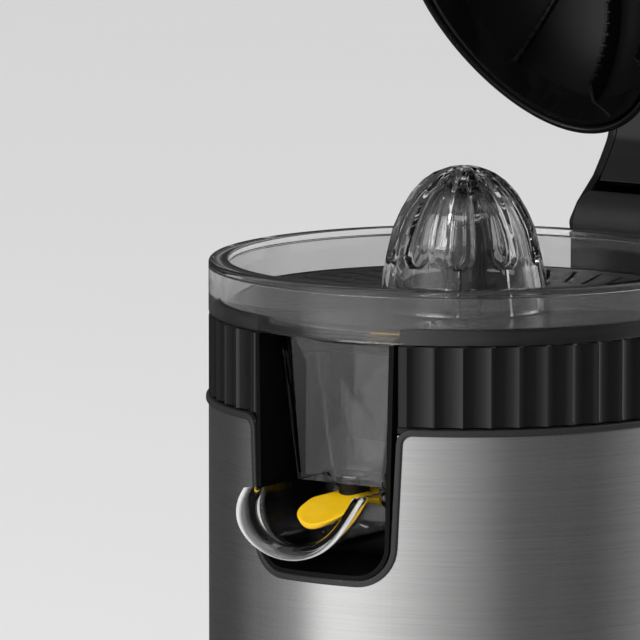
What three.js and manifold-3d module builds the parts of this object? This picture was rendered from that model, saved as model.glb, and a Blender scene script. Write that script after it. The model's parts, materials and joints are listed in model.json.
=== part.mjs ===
// Citrus press juicer: steel-sleeved geared motor base, lift-off juice bowl with a spout,
// strainer and two reamer cones, and a hinged press arm. Millimetres, +Z up, the spout faces -Y.
import * as THREE from 'three';
import { mergeVertices } from 'three/addons/utils/BufferGeometryUtils.js';
import Module from 'manifold-3d';

const wasm = await Module();
wasm.setup();

// ---- driving dimensions ------------------------------------------------------------------
// clearances
const seatGap = 0.3;            // between pieces that touch
const runGap = 0.35;            // round a turning or sliding piece
const slipGap = 0.6;            // round a piece that lifts out by hand
const tiny = 0.01;

// body stack, from the table up
const bodyRadius = 94;          // outside of the steel sleeve, the flutes and the bowl
const footHeight = 4.7;
const footRadius = 9.5;
const footStandoff = 3;         // table to the underside of the base
const baseRingHeight = 11;
const baseInset = 0.5;
const steelHeight = 163.3;
const steelWall = 1;
const trimHeight = 2.3;
const trimProud = 1;
const bandHeight = 30.2;
const bandWall = 2.3;
const fluteCount = 58;
const fluteDepth = 0.9;
const collarHeight = 5.5;       // plain ring that the bowl's skirt fits over
const plasticWall = 2.2;
const deckDrop = 10.8;          // top of the band down to the motor deck
const deckThickness = 3;
const postRadius = 5;
const postReach = 78;           // body axis to the screw posts and the feet
const screwRadius = 2;
const screwHeadRadius = 3.7;
const screwHeadHeight = 3;
const glandRadius = 7;
const glandBore = 4;

// bay in front, where the spout hangs
const bayTopHalf = 31;
const bayBottomHalf = 28.4;
const bayFloor = 123.6;
const bayCorner = 13;
const bayBack = 50;             // body axis to the back of the bay
const linerWall = 1.6;

// bowl
const skirtHeight = 19.9;
const skirtWall = 2.2;
const lipWidth = 7.4;
const lipThickness = 2.5;
const bowlWall = 2.4;
const bowlCorner = 11;
const chimneyRadius = 12;
const chimneyBore = 9.2;
const chimneyHeight = 22;
const apronReach = 80;          // body axis to the front of the outlet chute
const apronTopHalf = 27;
const apronBottomHalf = 19;
const chuteDepth = 22;
const chuteWall = 2;
const chuteBottom = 156;
const outletRadius = 5;
const plugMargin = 1.3;          // of the drip seal round the outlet

// spout and drip stop
const spoutHalf = 25;
const spoutTop = 155;
const spoutDepth = 23.2;
const spoutWall = 2;
const spoutReach = 113;         // body axis to the lowest point of the lip
const lipRake = 10;             // how far the top of the lip stands back
const leverPivotReach = 64;
const leverPivotHeight = 149.5;
const leverReach = 99;
const leverNeckHalf = 7.5;
const leverPaddleHalf = 10.5;
const leverThickness = 2.2;
const leverDrop = 7;
const leverPinRadius = 1.5;
const leverHubRadius = 3.2;

// strainer and reamers
const strainerThickness = 2;
const strainerDip = 2.8;        // rim of the strainer down to its flat middle
const strainerFlat = 35;
const strainerDepth = 14.4;     // bowl rim down to the strainer's rim
const slotCount = 16;
const slotWidth = 2;
const coneRibs = 10;
const coneFlute = 2.4;
const coneRadius = 32;
const coneHeight = 50.6;
const coneWall = 4.3;

// drive
const toothModule = 1.5;
const pinionTeeth = 10;
const wheelTeeth = 30;
const gearCaseFloor = 121;
const gearCaseHeight = 29;
const caseWall = 2;
const motorRadius = 40;
const motorHeight = 56;
const rotorRadius = 31;
const shaftRadius = 4;
const spindleRadius = 6;
const hexRadius = 5;            // centre to corner of the spindle's driving end
const spindleRise = 11;          // bowl's rim up to the top of the spindle
const sleeveRadius = 11;
const pressTravel = 2.5;

// arm and press head, drawn shut: "ahead" is forward of the hinge, "above" is over it
const hingeStandoff = 16;       // outside of the body to the hinge axis
const openAngle = 57;           // degrees from shut to standing open
const pinRadius = 3;
const knuckleRadius = 12;
const armHalf = 22;
const armEndHalf = 18;
const cheekWall = 4.7;
const armSkin = 3;
const towerDepth = 30;
const towerFoot = 132;
const headHalfWidth = 52.3;
const headHalfLength = 63.5;
const headEgg = 0.12;           // share by which the head widens towards its front
const headOffset = 0.9;         // body axis to the middle of the head
const headDrop = 4.3;           // hinge axis down to the head's rim
const headHeight = 58;
const headWall = 2.5;
const cupWall = 2;
const cupRibDepth = 4;
const cupRibWidth = 2.4;
const cupRibCount = 4;          // bars across the cup, each making two ribs
const gripLength = 94.1;        // middle of the head to the end of the grip

// segments of round pieces
const fine = 40;
const medium = 16;
const coarse = 8;

// ---- heights that follow -----------------------------------------------------------------
const baseTop = footStandoff + baseRingHeight;
const steelTop = baseTop + steelHeight;
const trimTop = steelTop + trimHeight;
const bandTop = trimTop + bandHeight;
const deckTop = bandTop - deckDrop;
const deckBottom = deckTop - deckThickness;
const collarTop = bandTop + collarHeight;
const skirtBottom = bandTop + seatGap;
const rimZ = skirtBottom + skirtHeight;
const bowlFloor = deckTop + 1;
const bowlInner = bodyRadius - lipWidth;
const strainerTop = rimZ - strainerDepth;
const strainerLow = strainerTop - strainerDip;
const coneBase = strainerLow + slipGap;
const gearCaseTop = gearCaseFloor + gearCaseHeight;
const hingeZ = rimZ;
const hingeReach = bodyRadius + hingeStandoff;
const headCentre = hingeReach + headOffset;
const gripReach = headCentre + gripLength;
const spindleTop = rimZ + spindleRise;

// ---- helpers -----------------------------------------------------------------------------
// A closed geometry as a solid whose faces point out.
function solid(geometry) {
  const bare = geometry.index ? geometry.toNonIndexed() : geometry.clone();
  bare.deleteAttribute('normal');
  bare.deleteAttribute('uv');
  const merged = mergeVertices(bare, 1e-4);
  const at = merged.attributes.position;
  const kept = [];
  let volume = 0;
  const a = new THREE.Vector3();
  const b = new THREE.Vector3();
  const c = new THREE.Vector3();
  for (let i = 0; i < merged.index.count; i += 3) {
    const [p, q, r] = [0, 1, 2].map((k) => merged.index.getX(i + k));
    if (p === q || q === r || r === p) continue;
    a.fromBufferAttribute(at, p);
    b.fromBufferAttribute(at, q);
    c.fromBufferAttribute(at, r);
    volume += a.dot(b.cross(c));
    kept.push([p, q, r]);
  }
  const faces = volume < 0 ? kept.map(([p, q, r]) => [p, r, q]) : kept;
  return new wasm.Manifold(new wasm.Mesh({
    numProp: 3,
    vertProperties: new Float32Array(at.array),
    triVerts: new Uint32Array(faces.flat()),
  }));
}

function geometryOf(body) {
  const mesh = body.getMesh();
  const geometry = new THREE.BufferGeometry();
  geometry.setAttribute('position', new THREE.BufferAttribute(mesh.vertProperties, 3));
  geometry.setIndex(new THREE.BufferAttribute(mesh.triVerts, 1));
  geometry.computeVertexNormals();
  return geometry;
}

// A solid of revolution about +Z from (radius, height) points; the outline closes on itself.
function turned(points, segments = fine) {
  const outline = [...points, points[0]].map(([r, z]) => new THREE.Vector2(r, z));
  return solid(new THREE.LatheGeometry(outline, segments).rotateX(Math.PI / 2));
}

function disc(radius, low, high, segments = medium, x = 0, y = 0) {
  return turned([[0, low], [radius, low], [radius, high], [0, high]], segments).translate([x, y, 0]);
}

function pipe(inner, outer, low, high, segments = medium) {
  return turned([[inner, low], [outer, low], [outer, high], [inner, high]], segments);
}

function block(x0, x1, y0, y1, z0, z1) {
  const box = new THREE.BoxGeometry(x1 - x0, y1 - y0, z1 - z0);
  return solid(box.translate((x0 + x1) / 2, (y0 + y1) / 2, (z0 + z1) / 2));
}

// A disc lying along X, for pins and knuckles.
function barX(radius, x0, x1, y, z, segments = medium) {
  const bar = new THREE.CylinderGeometry(radius, radius, x1 - x0, segments);
  return solid(bar.rotateZ(Math.PI / 2).translate((x0 + x1) / 2, y, z));
}

function shapeOf(points) {
  return new THREE.Shape(points.map(([x, y]) => new THREE.Vector2(x, y)));
}

// An (x, z) outline pushed along Y from y0 to y1.
function alongY(shape, y0, y1, curveSegments = 6) {
  const geometry = new THREE.ExtrudeGeometry(shape, { depth: y1 - y0, bevelEnabled: false, curveSegments });
  return solid(geometry.rotateX(Math.PI / 2).translate(0, y1, 0));
}

// An (x, y) outline pushed up Z from z0 to z1.
function alongZ(shape, z0, z1, curveSegments = 6) {
  const geometry = new THREE.ExtrudeGeometry(shape, { depth: z1 - z0, bevelEnabled: false, curveSegments });
  return solid(geometry.translate(0, 0, z0));
}

// An (ahead, above) outline of the arm pushed across X, its half-width set by halfAt(ahead).
function acrossArm(points, halfAt) {
  const geometry = new THREE.ExtrudeGeometry(shapeOf(points), { depth: 2, bevelEnabled: false });
  const at = geometry.attributes.position;
  for (let i = 0; i < at.count; i += 1) {
    const ahead = at.getX(i);
    const above = at.getY(i);
    at.setXYZ(i, (at.getZ(i) - 1) * halfAt(ahead), -ahead, above);
  }
  return solid(geometry);
}

function around(count, make) {
  return Array.from({ length: count }, (_, i) => make((2 * Math.PI * i) / count, i));
}

const joinAll = (bodies) => bodies.reduce((whole, next) => whole.add(next));
const cutAll = (body, tools) => tools.reduce((left, tool) => left.subtract(tool), body);

const whole = new THREE.Group();
const parked = new THREE.Group();
whole.add(parked);
const arm = new THREE.Group();
arm.position.set(0, hingeReach, hingeZ);
arm.rotation.x = THREE.MathUtils.degToRad(-openAngle);
parked.add(arm);

function place(name, body, look, group = parked) {
  const mesh = new THREE.Mesh(geometryOf(body), new THREE.MeshStandardMaterial(look));
  mesh.name = name;
  group.add(mesh);
}

const glossBlack = { color: 0x0b0b0c, roughness: 0.12, metalness: 0 };
const satinBlack = { color: 0x17181a, roughness: 0.4, metalness: 0 };
const steel = { color: 0xa9abad, roughness: 0.35, metalness: 1 };
const smoke = { color: 0x55585c, roughness: 0.05, metalness: 0, transparent: true, opacity: 0.45 };
const clear = { color: 0xd9dcdf, roughness: 0.05, metalness: 0, transparent: true, opacity: 0.35 };
const yellow = { color: 0xffc400, roughness: 0.35, metalness: 0 };
const rubber = { color: 0x1c1c1c, roughness: 0.85, metalness: 0 };
const nylon = { color: 0xe6e0d0, roughness: 0.5, metalness: 0 };
const brightMetal = { color: 0xc9ccd0, roughness: 0.2, metalness: 1 };

// ---- bay outline -------------------------------------------------------------------------
// The bay seen from the front, spread outwards by `grow`; open above the band.
function bayShape(grow) {
  const top = collarTop + 5;
  const slope = (bayTopHalf - bayBottomHalf) / (steelTop - bayFloor);
  const halfAt = (z) => bayBottomHalf + slope * (Math.min(z, steelTop) - bayFloor) + grow;
  const corner = bayCorner + grow;
  const floor = bayFloor - grow;
  const shape = new THREE.Shape();
  shape.moveTo(halfAt(steelTop), top);
  shape.lineTo(-halfAt(steelTop), top);
  shape.lineTo(-halfAt(steelTop), steelTop);
  shape.lineTo(-halfAt(floor + corner), floor + corner);
  shape.absarc(-halfAt(floor + corner) + corner, floor + corner, corner, Math.PI, 1.5 * Math.PI);
  shape.lineTo(halfAt(floor + corner) - corner, floor);
  shape.absarc(halfAt(floor + corner) - corner, floor + corner, corner, 1.5 * Math.PI, 2 * Math.PI);
  shape.lineTo(halfAt(steelTop), steelTop);
  return shape;
}
const bayCut = alongY(bayShape(seatGap), -bodyRadius - 10, -bayBack + seatGap);

// ---- screws that hold the hinge tower to the band and the deck ---------------------------
function barY(radius, y0, y1, x, z, segments = coarse) {
  const bar = new THREE.CylinderGeometry(radius, radius, y1 - y0, segments);
  return solid(bar.translate(x, (y0 + y1) / 2, z));
}
const towerScrewSpots = [-14, 14];
const towerScrewZ = (deckBottom + trimTop) / 2;
const towerScrewEnd = bodyRadius - 9;
const towerHeadSeat = bodyRadius + 8;
const towerScrewCuts = towerScrewSpots.map((x) => (
  barY(screwRadius + seatGap, towerScrewEnd - 2, towerHeadSeat + 1, x, towerScrewZ)));

// ---- base --------------------------------------------------------------------------------
const postSpots = [45, 135, 225, 315].map((degrees) => {
  const turn = THREE.MathUtils.degToRad(degrees);
  return [postReach * Math.cos(turn), postReach * Math.sin(turn)];
});
const recess = footHeight + seatGap;
const headSeat = recess + screwHeadHeight + 2 * seatGap;
const bossTop = baseTop + 2;
const trayFloor = footStandoff + plasticWall;
const trayRadius = bodyRadius - baseInset;
const sleeveInner = bodyRadius - steelWall;

function baseTray() {
  const tray = turned([
    [0, footStandoff], [trayRadius, footStandoff], [trayRadius, baseTop - seatGap],
    [sleeveInner - seatGap, baseTop - seatGap], [sleeveInner - seatGap, baseTop + 3],
    [sleeveInner - plasticWall, baseTop + 3], [sleeveInner - plasticWall, trayFloor], [0, trayFloor],
  ]);
  const bosses = postSpots.map(([x, y]) => disc(footRadius + 2, footStandoff, bossTop, coarse, x, y));
  const holes = postSpots.flatMap(([x, y]) => [
    disc(footRadius + seatGap, 0, recess, medium, x, y),
    disc(screwHeadRadius + seatGap, 0, headSeat, coarse, x, y),
    disc(screwRadius + seatGap, 0, bossTop + 1, coarse, x, y),
  ]);
  const whole = cutAll(joinAll([tray, ...bosses]), holes);
  return whole.subtract(glandBar(glandRadius - 2 + seatGap, sleeveInner - 10, bodyRadius + 5));
}

const glandZ = (trayFloor + baseTop) / 2 + 2.5;
function glandBar(radius, y0, y1) {
  return barY(radius, y0, y1, 0, glandZ);
}

function screw(headLow, length, x, y) {
  const neck = headLow + screwHeadHeight;
  return disc(screwHeadRadius, headLow, neck, coarse, x, y)
    .add(disc(screwRadius, neck - tiny, neck + length, coarse, x, y));
}

place('base_tray', baseTray(), satinBlack);
postSpots.forEach(([x, y], i) => {
  place(`foot_${i + 1}`, disc(footRadius, 0, footHeight, medium, x, y), rubber);
  place(`base_screw_${i + 1}`, screw(recess + seatGap, 22, x, y), brightMetal);
});
const gland = glandBar(glandRadius - 2, sleeveInner - 8, bodyRadius + 2)
  .add(glandBar(glandRadius, bodyRadius + seatGap, bodyRadius + 6))
  .subtract(glandBar(glandBore, 0, bodyRadius + 20));
place('cord_gland', gland, rubber);

// ---- sleeve, trim and flutes -------------------------------------------------------------
const glandCut = glandBar(glandRadius - 2 + seatGap, 0, bodyRadius + 20);
const sleeve = pipe(sleeveInner, bodyRadius, baseTop, steelTop, fine);
place('steel_shell', cutAll(sleeve, [bayCut, glandCut]), steel);

const trimRing = pipe(sleeveInner - 1, bodyRadius + trimProud, steelTop + seatGap, trimTop, fine);
place('trim_ring', trimRing.subtract(bayCut), satinBlack);

function flutedBand() {
  const points = around(fluteCount, (turn) => {
    const valley = turn + Math.PI / fluteCount;
    const dip = bodyRadius - fluteDepth;
    return [
      [bodyRadius * Math.cos(turn), bodyRadius * Math.sin(turn)],
      [dip * Math.cos(valley), dip * Math.sin(valley)],
    ];
  }).flat();
  const bore = disc(bodyRadius - bandWall, 0, bandTop + 1, fine);
  return cutAll(alongZ(shapeOf(points), trimTop + seatGap, bandTop), [bore, bayCut, ...towerScrewCuts]);
}
place('fluted_band', flutedBand(), glossBlack);

// ---- motor deck --------------------------------------------------------------------------
const caseScrewSpots = [[34, 15], [-34, 15], [0, -35]];
const collarOuter = bodyRadius - bandWall - seatGap;
const sleeveGuide = sleeveRadius + runGap;
const guideBottom = deckBottom - 24;

function motorDeck() {
  const wallInner = collarOuter - plasticWall;
  const wallLow = steelTop + seatGap;
  const deck = turned([
    [0, deckBottom], [wallInner, deckBottom], [wallInner, wallLow], [collarOuter, wallLow],
    [collarOuter, collarTop], [wallInner, collarTop], [wallInner, deckTop], [0, deckTop],
  ]).add(disc(sleeveGuide + 3, guideBottom, deckTop - 1));
  const fitted = deck.subtract(disc(bodyRadius + 5, wallLow - 1, trimTop + seatGap, fine)
    .subtract(disc(sleeveInner - 1 - seatGap, wallLow - 2, trimTop + 1, fine)));
  const posts = [
    ...postSpots.map(([x, y]) => disc(postRadius, bossTop + seatGap, deckTop - 1, coarse, x, y)),
    ...caseScrewSpots.map(([x, y]) => (
      disc(postRadius + 1, gearCaseTop + seatGap, deckTop - 1, coarse, x, y))),
  ];
  const holes = [
    disc(sleeveGuide, 0, rimZ),
    ...towerScrewCuts,
    ...postSpots.map(([x, y]) => disc(screwRadius + seatGap, bossTop, bossTop + 24, coarse, x, y)),
    ...caseScrewSpots.map(([x, y]) => (
      disc(screwRadius + seatGap, gearCaseTop, gearCaseTop + 16, coarse, x, y))),
  ];
  return cutAll(joinAll([fitted, ...posts]), [...holes, bayCut]);
}
place('motor_deck', motorDeck(), satinBlack);

function bayLiner() {
  const shell = alongY(bayShape(0), -bodyRadius - trimProud, -bayBack);
  const hollow = alongY(bayShape(-linerWall), -bodyRadius - 10, -bayBack - linerWall);
  const round = disc(bodyRadius + 0.6, bayFloor - 5, deckTop, fine)
    .add(pipe(bodyRadius - bandWall, bodyRadius + 0.6, deckTop - tiny, bandTop, fine));
  return shell.intersect(round).subtract(hollow);
}
place('bay_liner', bayLiner(), glossBlack);

// ---- gears -------------------------------------------------------------------------------
// A spur gear outline with straight-sided teeth; one tooth points along `start`.
function gear(teeth, low, high, start = 0) {
  const pitch = (toothModule * teeth) / 2;
  const root = pitch - 1.25 * toothModule;
  const tip = pitch + 0.8 * toothModule;
  const step = (2 * Math.PI) / teeth;
  const points = around(teeth, (turn) => [
    [root, -0.27], [tip, -0.11], [tip, 0.11], [root, 0.27],
  ].map(([r, share]) => {
    const angle = start + turn + share * step;
    return [r * Math.cos(angle), r * Math.sin(angle)];
  })).flat();
  return alongZ(shapeOf(points), low, high);
}

const gearCentres = (toothModule * (pinionTeeth + wheelTeeth)) / 2;
const lowWheel = gearCaseFloor + 4;
const wheelThickness = 7;
const highWheel = lowWheel + wheelThickness + 4;
const highWheelThickness = 8;
const towardsIdler = Math.PI / 2;
const wheelHalfStep = Math.PI / wheelTeeth;

const motorTop = gearCaseFloor - 3;
const motorBottom = motorTop - motorHeight;
const endCapThickness = 4;
const shaft = disc(shaftRadius, motorBottom - 1, lowWheel, coarse)
  .add(gear(pinionTeeth, lowWheel - 1, highWheel - 1.5, towardsIdler));
place('motor_shaft', shaft, brightMetal);
place('rotor_core', pipe(shaftRadius + seatGap, rotorRadius, motorBottom + 8, motorTop - 8, medium), steel);
const motorCan = turned([
  [motorRadius - caseWall, motorBottom], [motorRadius, motorBottom], [motorRadius, motorTop],
  [shaftRadius + runGap, motorTop], [shaftRadius + runGap, motorTop - caseWall],
  [motorRadius - caseWall, motorTop - caseWall],
], medium);
place('motor_can', motorCan, steel);
const endCap = pipe(shaftRadius + runGap, motorRadius - caseWall - seatGap,
  motorBottom, motorBottom + endCapThickness, medium);
place('motor_end_cap', endCap, nylon);

const idler = gear(wheelTeeth, lowWheel, lowWheel + wheelThickness, -towardsIdler + wheelHalfStep)
  .add(gear(pinionTeeth, lowWheel + wheelThickness - tiny, highWheel + highWheelThickness, -towardsIdler))
  .subtract(disc(2.5 + runGap, 0, rimZ, coarse))
  .translate([0, gearCentres, 0]);
place('idler_gear', idler, nylon);
const axleEnds = [gearCaseFloor + caseWall + 0.2, gearCaseTop - caseWall - 0.2];
place('idler_axle', disc(2.5, ...axleEnds, coarse, 0, gearCentres), brightMetal);

const hexCut = (clearance, low, high) => disc(hexRadius + clearance, low, high, 6);
const hubTop = gearCaseTop - 1;
const outputHub = 9;
const output = gear(wheelTeeth, highWheel, highWheel + highWheelThickness, towardsIdler + wheelHalfStep)
  .add(disc(outputHub, highWheel + 1, hubTop, medium))
  .subtract(hexCut(0.5, 0, rimZ));
place('output_gear', output, nylon);

// ---- gear case ---------------------------------------------------------------------------
function caseShape(grow) {
  const radius = (toothModule * wheelTeeth) / 2 + 3.5 + grow;
  const shape = new THREE.Shape();
  shape.absarc(0, gearCentres, radius, 0, Math.PI);
  shape.absarc(0, 0, radius, Math.PI, 2 * Math.PI);
  return shape;
}
const caseSplit = highWheel - 1;
function caseHalf(low, high, floorLow, floorHigh) {
  const shell = alongZ(caseShape(caseWall), low, high);
  const hollow = alongZ(caseShape(0), low - 1, high + 1);
  return shell.subtract(hollow).add(alongZ(caseShape(caseWall - tiny), floorLow, floorHigh));
}
const caseLower = caseHalf(gearCaseFloor, caseSplit, gearCaseFloor, gearCaseFloor + caseWall)
  .subtract(disc(shaftRadius + runGap, 0, rimZ));
place('gear_case_lower', caseLower, satinBlack);
const ears = caseScrewSpots.map(([x, y]) => {
  const ear = disc(postRadius + 2, gearCaseTop - 4, gearCaseTop, coarse, x, y);
  const bridge = block(Math.min(x, 0.8 * x) - 4, Math.max(x, 0.8 * x) + 4, Math.min(y, 0.8 * y) - 4,
    Math.max(y, 0.8 * y) + 4, gearCaseTop - 4, gearCaseTop);
  return ear.add(bridge).subtract(alongZ(caseShape(1), 0, gearCaseTop + 1));
});
const caseUpper = cutAll(
  joinAll([caseHalf(caseSplit + seatGap, gearCaseTop, gearCaseTop - caseWall, gearCaseTop), ...ears]),
  [
    disc(outputHub + runGap, 0, rimZ, medium),
    ...caseScrewSpots.map(([x, y]) => disc(screwRadius + seatGap, 0, rimZ, coarse, x, y)),
  ],
);
place('gear_case_upper', caseUpper, satinBlack);
caseScrewSpots.forEach(([x, y], i) => {
  const headLow = gearCaseTop - 4 - seatGap - screwHeadHeight;
  place(`case_screw_${i + 1}`, screw(headLow, 17, x, y), brightMetal);
});

// ---- spindle and its press switch --------------------------------------------------------
const spindleFoot = highWheel + 3.5;
const hexTopLow = deckTop + 6;
const spindle = disc(spindleRadius - 1, spindleFoot, gearCaseTop + 4, 6)
  .add(disc(spindleRadius, gearCaseTop + 3, hexTopLow, coarse * 2))
  .add(hexCut(0, hexTopLow - tiny, spindleTop));
place('spindle', spindle, brightMetal);

const flangeLow = guideBottom - 3.2;
const flangeRadius = 16;
const thrustSleeve = turned([
  [spindleRadius + runGap, flangeLow], [flangeRadius, flangeLow], [flangeRadius, flangeLow + 3],
  [sleeveRadius, flangeLow + 3], [sleeveRadius, deckTop - 1], [spindleRadius + runGap, deckTop - 1],
], medium);
place('thrust_sleeve', thrustSleeve, nylon);
const seal = turned([
  [spindleRadius + runGap, deckTop - seatGap], [chimneyBore - slipGap, deckTop - seatGap],
  [chimneyBore - slipGap, deckTop + 2], [spindleRadius + runGap, deckTop + 4],
], medium);
place('spindle_seal', seal, rubber);

class Helix extends THREE.Curve {
  constructor(radius, pitch, turns) {
    super();
    Object.assign(this, { radius, pitch, turns });
  }

  getPoint(t, target = new THREE.Vector3()) {
    const turn = 2 * Math.PI * this.turns * t;
    const rise = this.pitch * this.turns * t;
    return target.set(this.radius * Math.cos(turn), this.radius * Math.sin(turn), rise);
  }
}

function spring(radius, wire, turns, length) {
  const section = shapeOf(around(4, (turn) => [wire * Math.cos(turn), wire * Math.sin(turn)]));
  const path = new Helix(radius, (length - 2 * wire) / turns, turns);
  const steps = Math.round(8 * turns);
  const geometry = new THREE.ExtrudeGeometry(section, { steps, bevelEnabled: false, extrudePath: path });
  return solid(geometry.translate(0, 0, wire));
}
const springLow = gearCaseTop + seatGap;
const pressSpring = spring(spindleRadius + 2.6, 0.9, 3, flangeLow - springLow - 2 * seatGap)
  .translate([0, 0, springLow + 0.1]);
place('press_spring', pressSpring, brightMetal);

const buttonTop = flangeLow - seatGap;
const switchTop = buttonTop - 6;
const switchBody = block(12, 32, -3.2, 3.2, springLow, switchTop)
  .subtract(block(12.6, 16.4, -1.8, 1.8, switchTop - 6, switchTop + 1));
place('micro_switch', switchBody, satinBlack);
const button = block(13, 16, -1.4, 1.4, switchTop - 6 + pressTravel + 0.5, buttonTop);
place('switch_button', button, nylon);

// ---- hinge tower -------------------------------------------------------------------------
const towerFront = hingeReach - towerDepth / 2;
const towerBack = hingeReach + towerDepth / 2;
const towerTop = hingeZ - knuckleRadius - 4.5;
const pinHole = 0.35;
const springSlot = 9;
const cheekInner = armHalf - cheekWall;
const knuckleHalf = cheekInner - 0.5;

function hingeTower() {
  const side = new THREE.Shape();
  side.moveTo(bodyRadius, towerFoot);
  side.lineTo(towerFront + 6, towerFoot);
  side.quadraticCurveTo(towerBack - 4, towerFoot + 8, towerBack, towerFoot + 42);
  side.lineTo(towerBack, towerTop);
  side.lineTo(towerFront, towerTop);
  side.lineTo(bodyRadius - 20, towerTop);
  side.lineTo(bodyRadius - 20, towerFoot);
  const settings = { depth: 2 * armHalf, bevelEnabled: false, curveSegments: 4 };
  const geometry = new THREE.ExtrudeGeometry(side, settings);
  geometry.rotateX(Math.PI / 2).rotateZ(Math.PI / 2).translate(-armHalf, 0, 0);
  const column = solid(geometry);
  const neck = block(-knuckleHalf, knuckleHalf, hingeReach - knuckleRadius, hingeReach + knuckleRadius,
    towerTop - tiny, hingeZ);
  const barrel = barX(knuckleRadius, -knuckleHalf, knuckleHalf, hingeReach, hingeZ);
  const body = disc(bodyRadius + trimProud + 0.4, 0, rimZ + 40, fine);
  return cutAll(column.add(neck).add(barrel), [
    body,
    barX(pinRadius + pinHole, -40, 40, hingeReach, hingeZ, coarse),
    block(-springSlot, springSlot, hingeReach - 8, hingeReach + 20, hingeZ - 8, hingeZ + 8),
    ...towerScrewCuts,
    ...towerScrewSpots.map((x) => (
      barY(screwHeadRadius + seatGap, towerHeadSeat, towerBack + 5, x, towerScrewZ))),
  ]);
}
place('hinge_tower', hingeTower(), satinBlack);
towerScrewSpots.forEach((x, i) => {
  const neck = towerHeadSeat + seatGap;
  const body = barY(screwHeadRadius, neck, neck + screwHeadHeight, x, towerScrewZ)
    .add(barY(screwRadius, towerScrewEnd, neck + tiny, x, towerScrewZ));
  place(`tower_screw_${i + 1}`, body, brightMetal);
});
const hingePin = barX(pinRadius, -armHalf + 0.5, armHalf - 0.5, hingeReach, hingeZ, coarse);
place('hinge_pin', hingePin, brightMetal);
const hingeSpring = geometryOf(spring(5.2, 1, 5, 2 * springSlot - 1.2));
hingeSpring.rotateY(Math.PI / 2).translate(-springSlot + 0.6, hingeReach, hingeZ);
place('hinge_spring', solid(hingeSpring), brightMetal);

// ---- juice bowl --------------------------------------------------------------------------
// A quarter turn from flat floor to upright wall, as outline points.
function corner(radius, centreR, centreZ, steps = 2) {
  return Array.from({ length: steps + 1 }, (_, i) => {
    const turn = (Math.PI / 2) * (i / steps);
    return [centreR + radius * Math.sin(turn), centreZ - radius * Math.cos(turn)];
  });
}

const chuteBack = apronReach - chuteDepth;
const outletReach = leverPivotReach + outletRadius + plugMargin + 0.2;
const chuteTop = bowlFloor + 5;
function chutePrism(inset, y0, y1, low, high) {
  const slope = (apronTopHalf - apronBottomHalf) / (bandTop - chuteBottom);
  const half = (z) => apronBottomHalf + slope * (z - chuteBottom) - inset;
  const outline = [[half(low), low], [half(high), high], [-half(high), high], [-half(low), low]];
  return alongY(shapeOf(outline), y0, y1);
}

function juiceBowl() {
  const outer = bowlInner + bowlWall;
  const floorTop = bowlFloor + bowlWall;
  const bowl = turned([
    [0, bowlFloor],
    ...corner(bowlCorner + bowlWall, outer - bowlCorner - bowlWall, bowlFloor + bowlCorner + bowlWall),
    [outer, rimZ - lipThickness], [bodyRadius - skirtWall, rimZ - lipThickness],
    [bodyRadius - skirtWall, skirtBottom], [bodyRadius, skirtBottom], [bodyRadius, rimZ], [bowlInner, rimZ],
    ...corner(bowlCorner, bowlInner - bowlCorner, floorTop + bowlCorner).reverse(),
    [0, floorTop],
  ]).add(disc(chimneyRadius, bowlFloor, bowlFloor + chimneyHeight));
  const chute = chutePrism(0, -apronReach, -chuteBack, chuteBottom, chuteTop)
    .subtract(disc(bowlInner - 4, floorTop, chuteTop + 1, fine));
  const hollow = chutePrism(chuteWall, -apronReach + chuteWall, -chuteBack - chuteWall,
    chuteBottom + chuteWall, chuteTop + 1);
  return cutAll(bowl.add(chute), [
    hollow.subtract(pipe(bowlInner - 8, bodyRadius, bowlFloor, rimZ, fine)),
    disc(chimneyBore, 0, rimZ),
    disc(outletRadius, 0, chuteBottom + chuteWall + 1, coarse, 0, -outletReach),
  ]);
}
place('juice_bowl', juiceBowl(), smoke);

// ---- spout and drip stop -----------------------------------------------------------------
function troughShape(inset) {
  const rise = inset > 0 ? 5 : 0;
  const shape = new THREE.Shape();
  shape.absellipse(0, spoutTop, spoutHalf - inset, spoutDepth - inset, Math.PI, 2 * Math.PI);
  shape.lineTo(spoutHalf - inset, spoutTop + rise + tiny);
  shape.lineTo(-spoutHalf + inset, spoutTop + rise + tiny);
  return shape;
}
const spoutBack = chuteBack - seatGap;
const plateBack = spoutBack - chuteWall;
const earInner = leverNeckHalf + 1.4;
const earOuter = earInner + 2;

function spout() {
  const trough = alongY(troughShape(0), -spoutReach - 2, -spoutBack);
  const hollow = alongY(troughShape(spoutWall), -spoutReach - 5, -spoutBack - spoutWall);
  const rake = Math.atan2(lipRake, spoutDepth);
  const blade = block(-40, 40, -40, 0, -60, 60)
    .rotate([THREE.MathUtils.radToDeg(-rake), 0, 0])
    .translate([0, -spoutReach, spoutTop - spoutDepth]);
  const plate = block(-14, 14, -spoutBack - tiny, -plateBack, spoutTop - 15, spoutTop + 14)
    .add(block(-14, 14, -spoutBack - spoutWall, -plateBack, spoutTop - 15, chuteBottom - seatGap));
  const ears = [-1, 1].map((side) => {
    const [x0, x1] = [side * earInner, side * earOuter].sort((p, q) => p - q);
    const earTop = chuteBottom - 2 * seatGap;
    return block(x0, x1, -leverPivotReach - 4, -plateBack, leverPivotHeight - 4, earTop);
  });
  return cutAll(joinAll([cutAll(trough, [hollow, blade]), plate, ...ears]), [
    barX(leverPinRadius + seatGap, -40, 40, -leverPivotReach, leverPivotHeight, coarse)
      .intersect(block(-earOuter - 1, earOuter + 1, -200, 0, 0, 400)),
  ]);
}
place('spout', spout(), clear);

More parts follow.
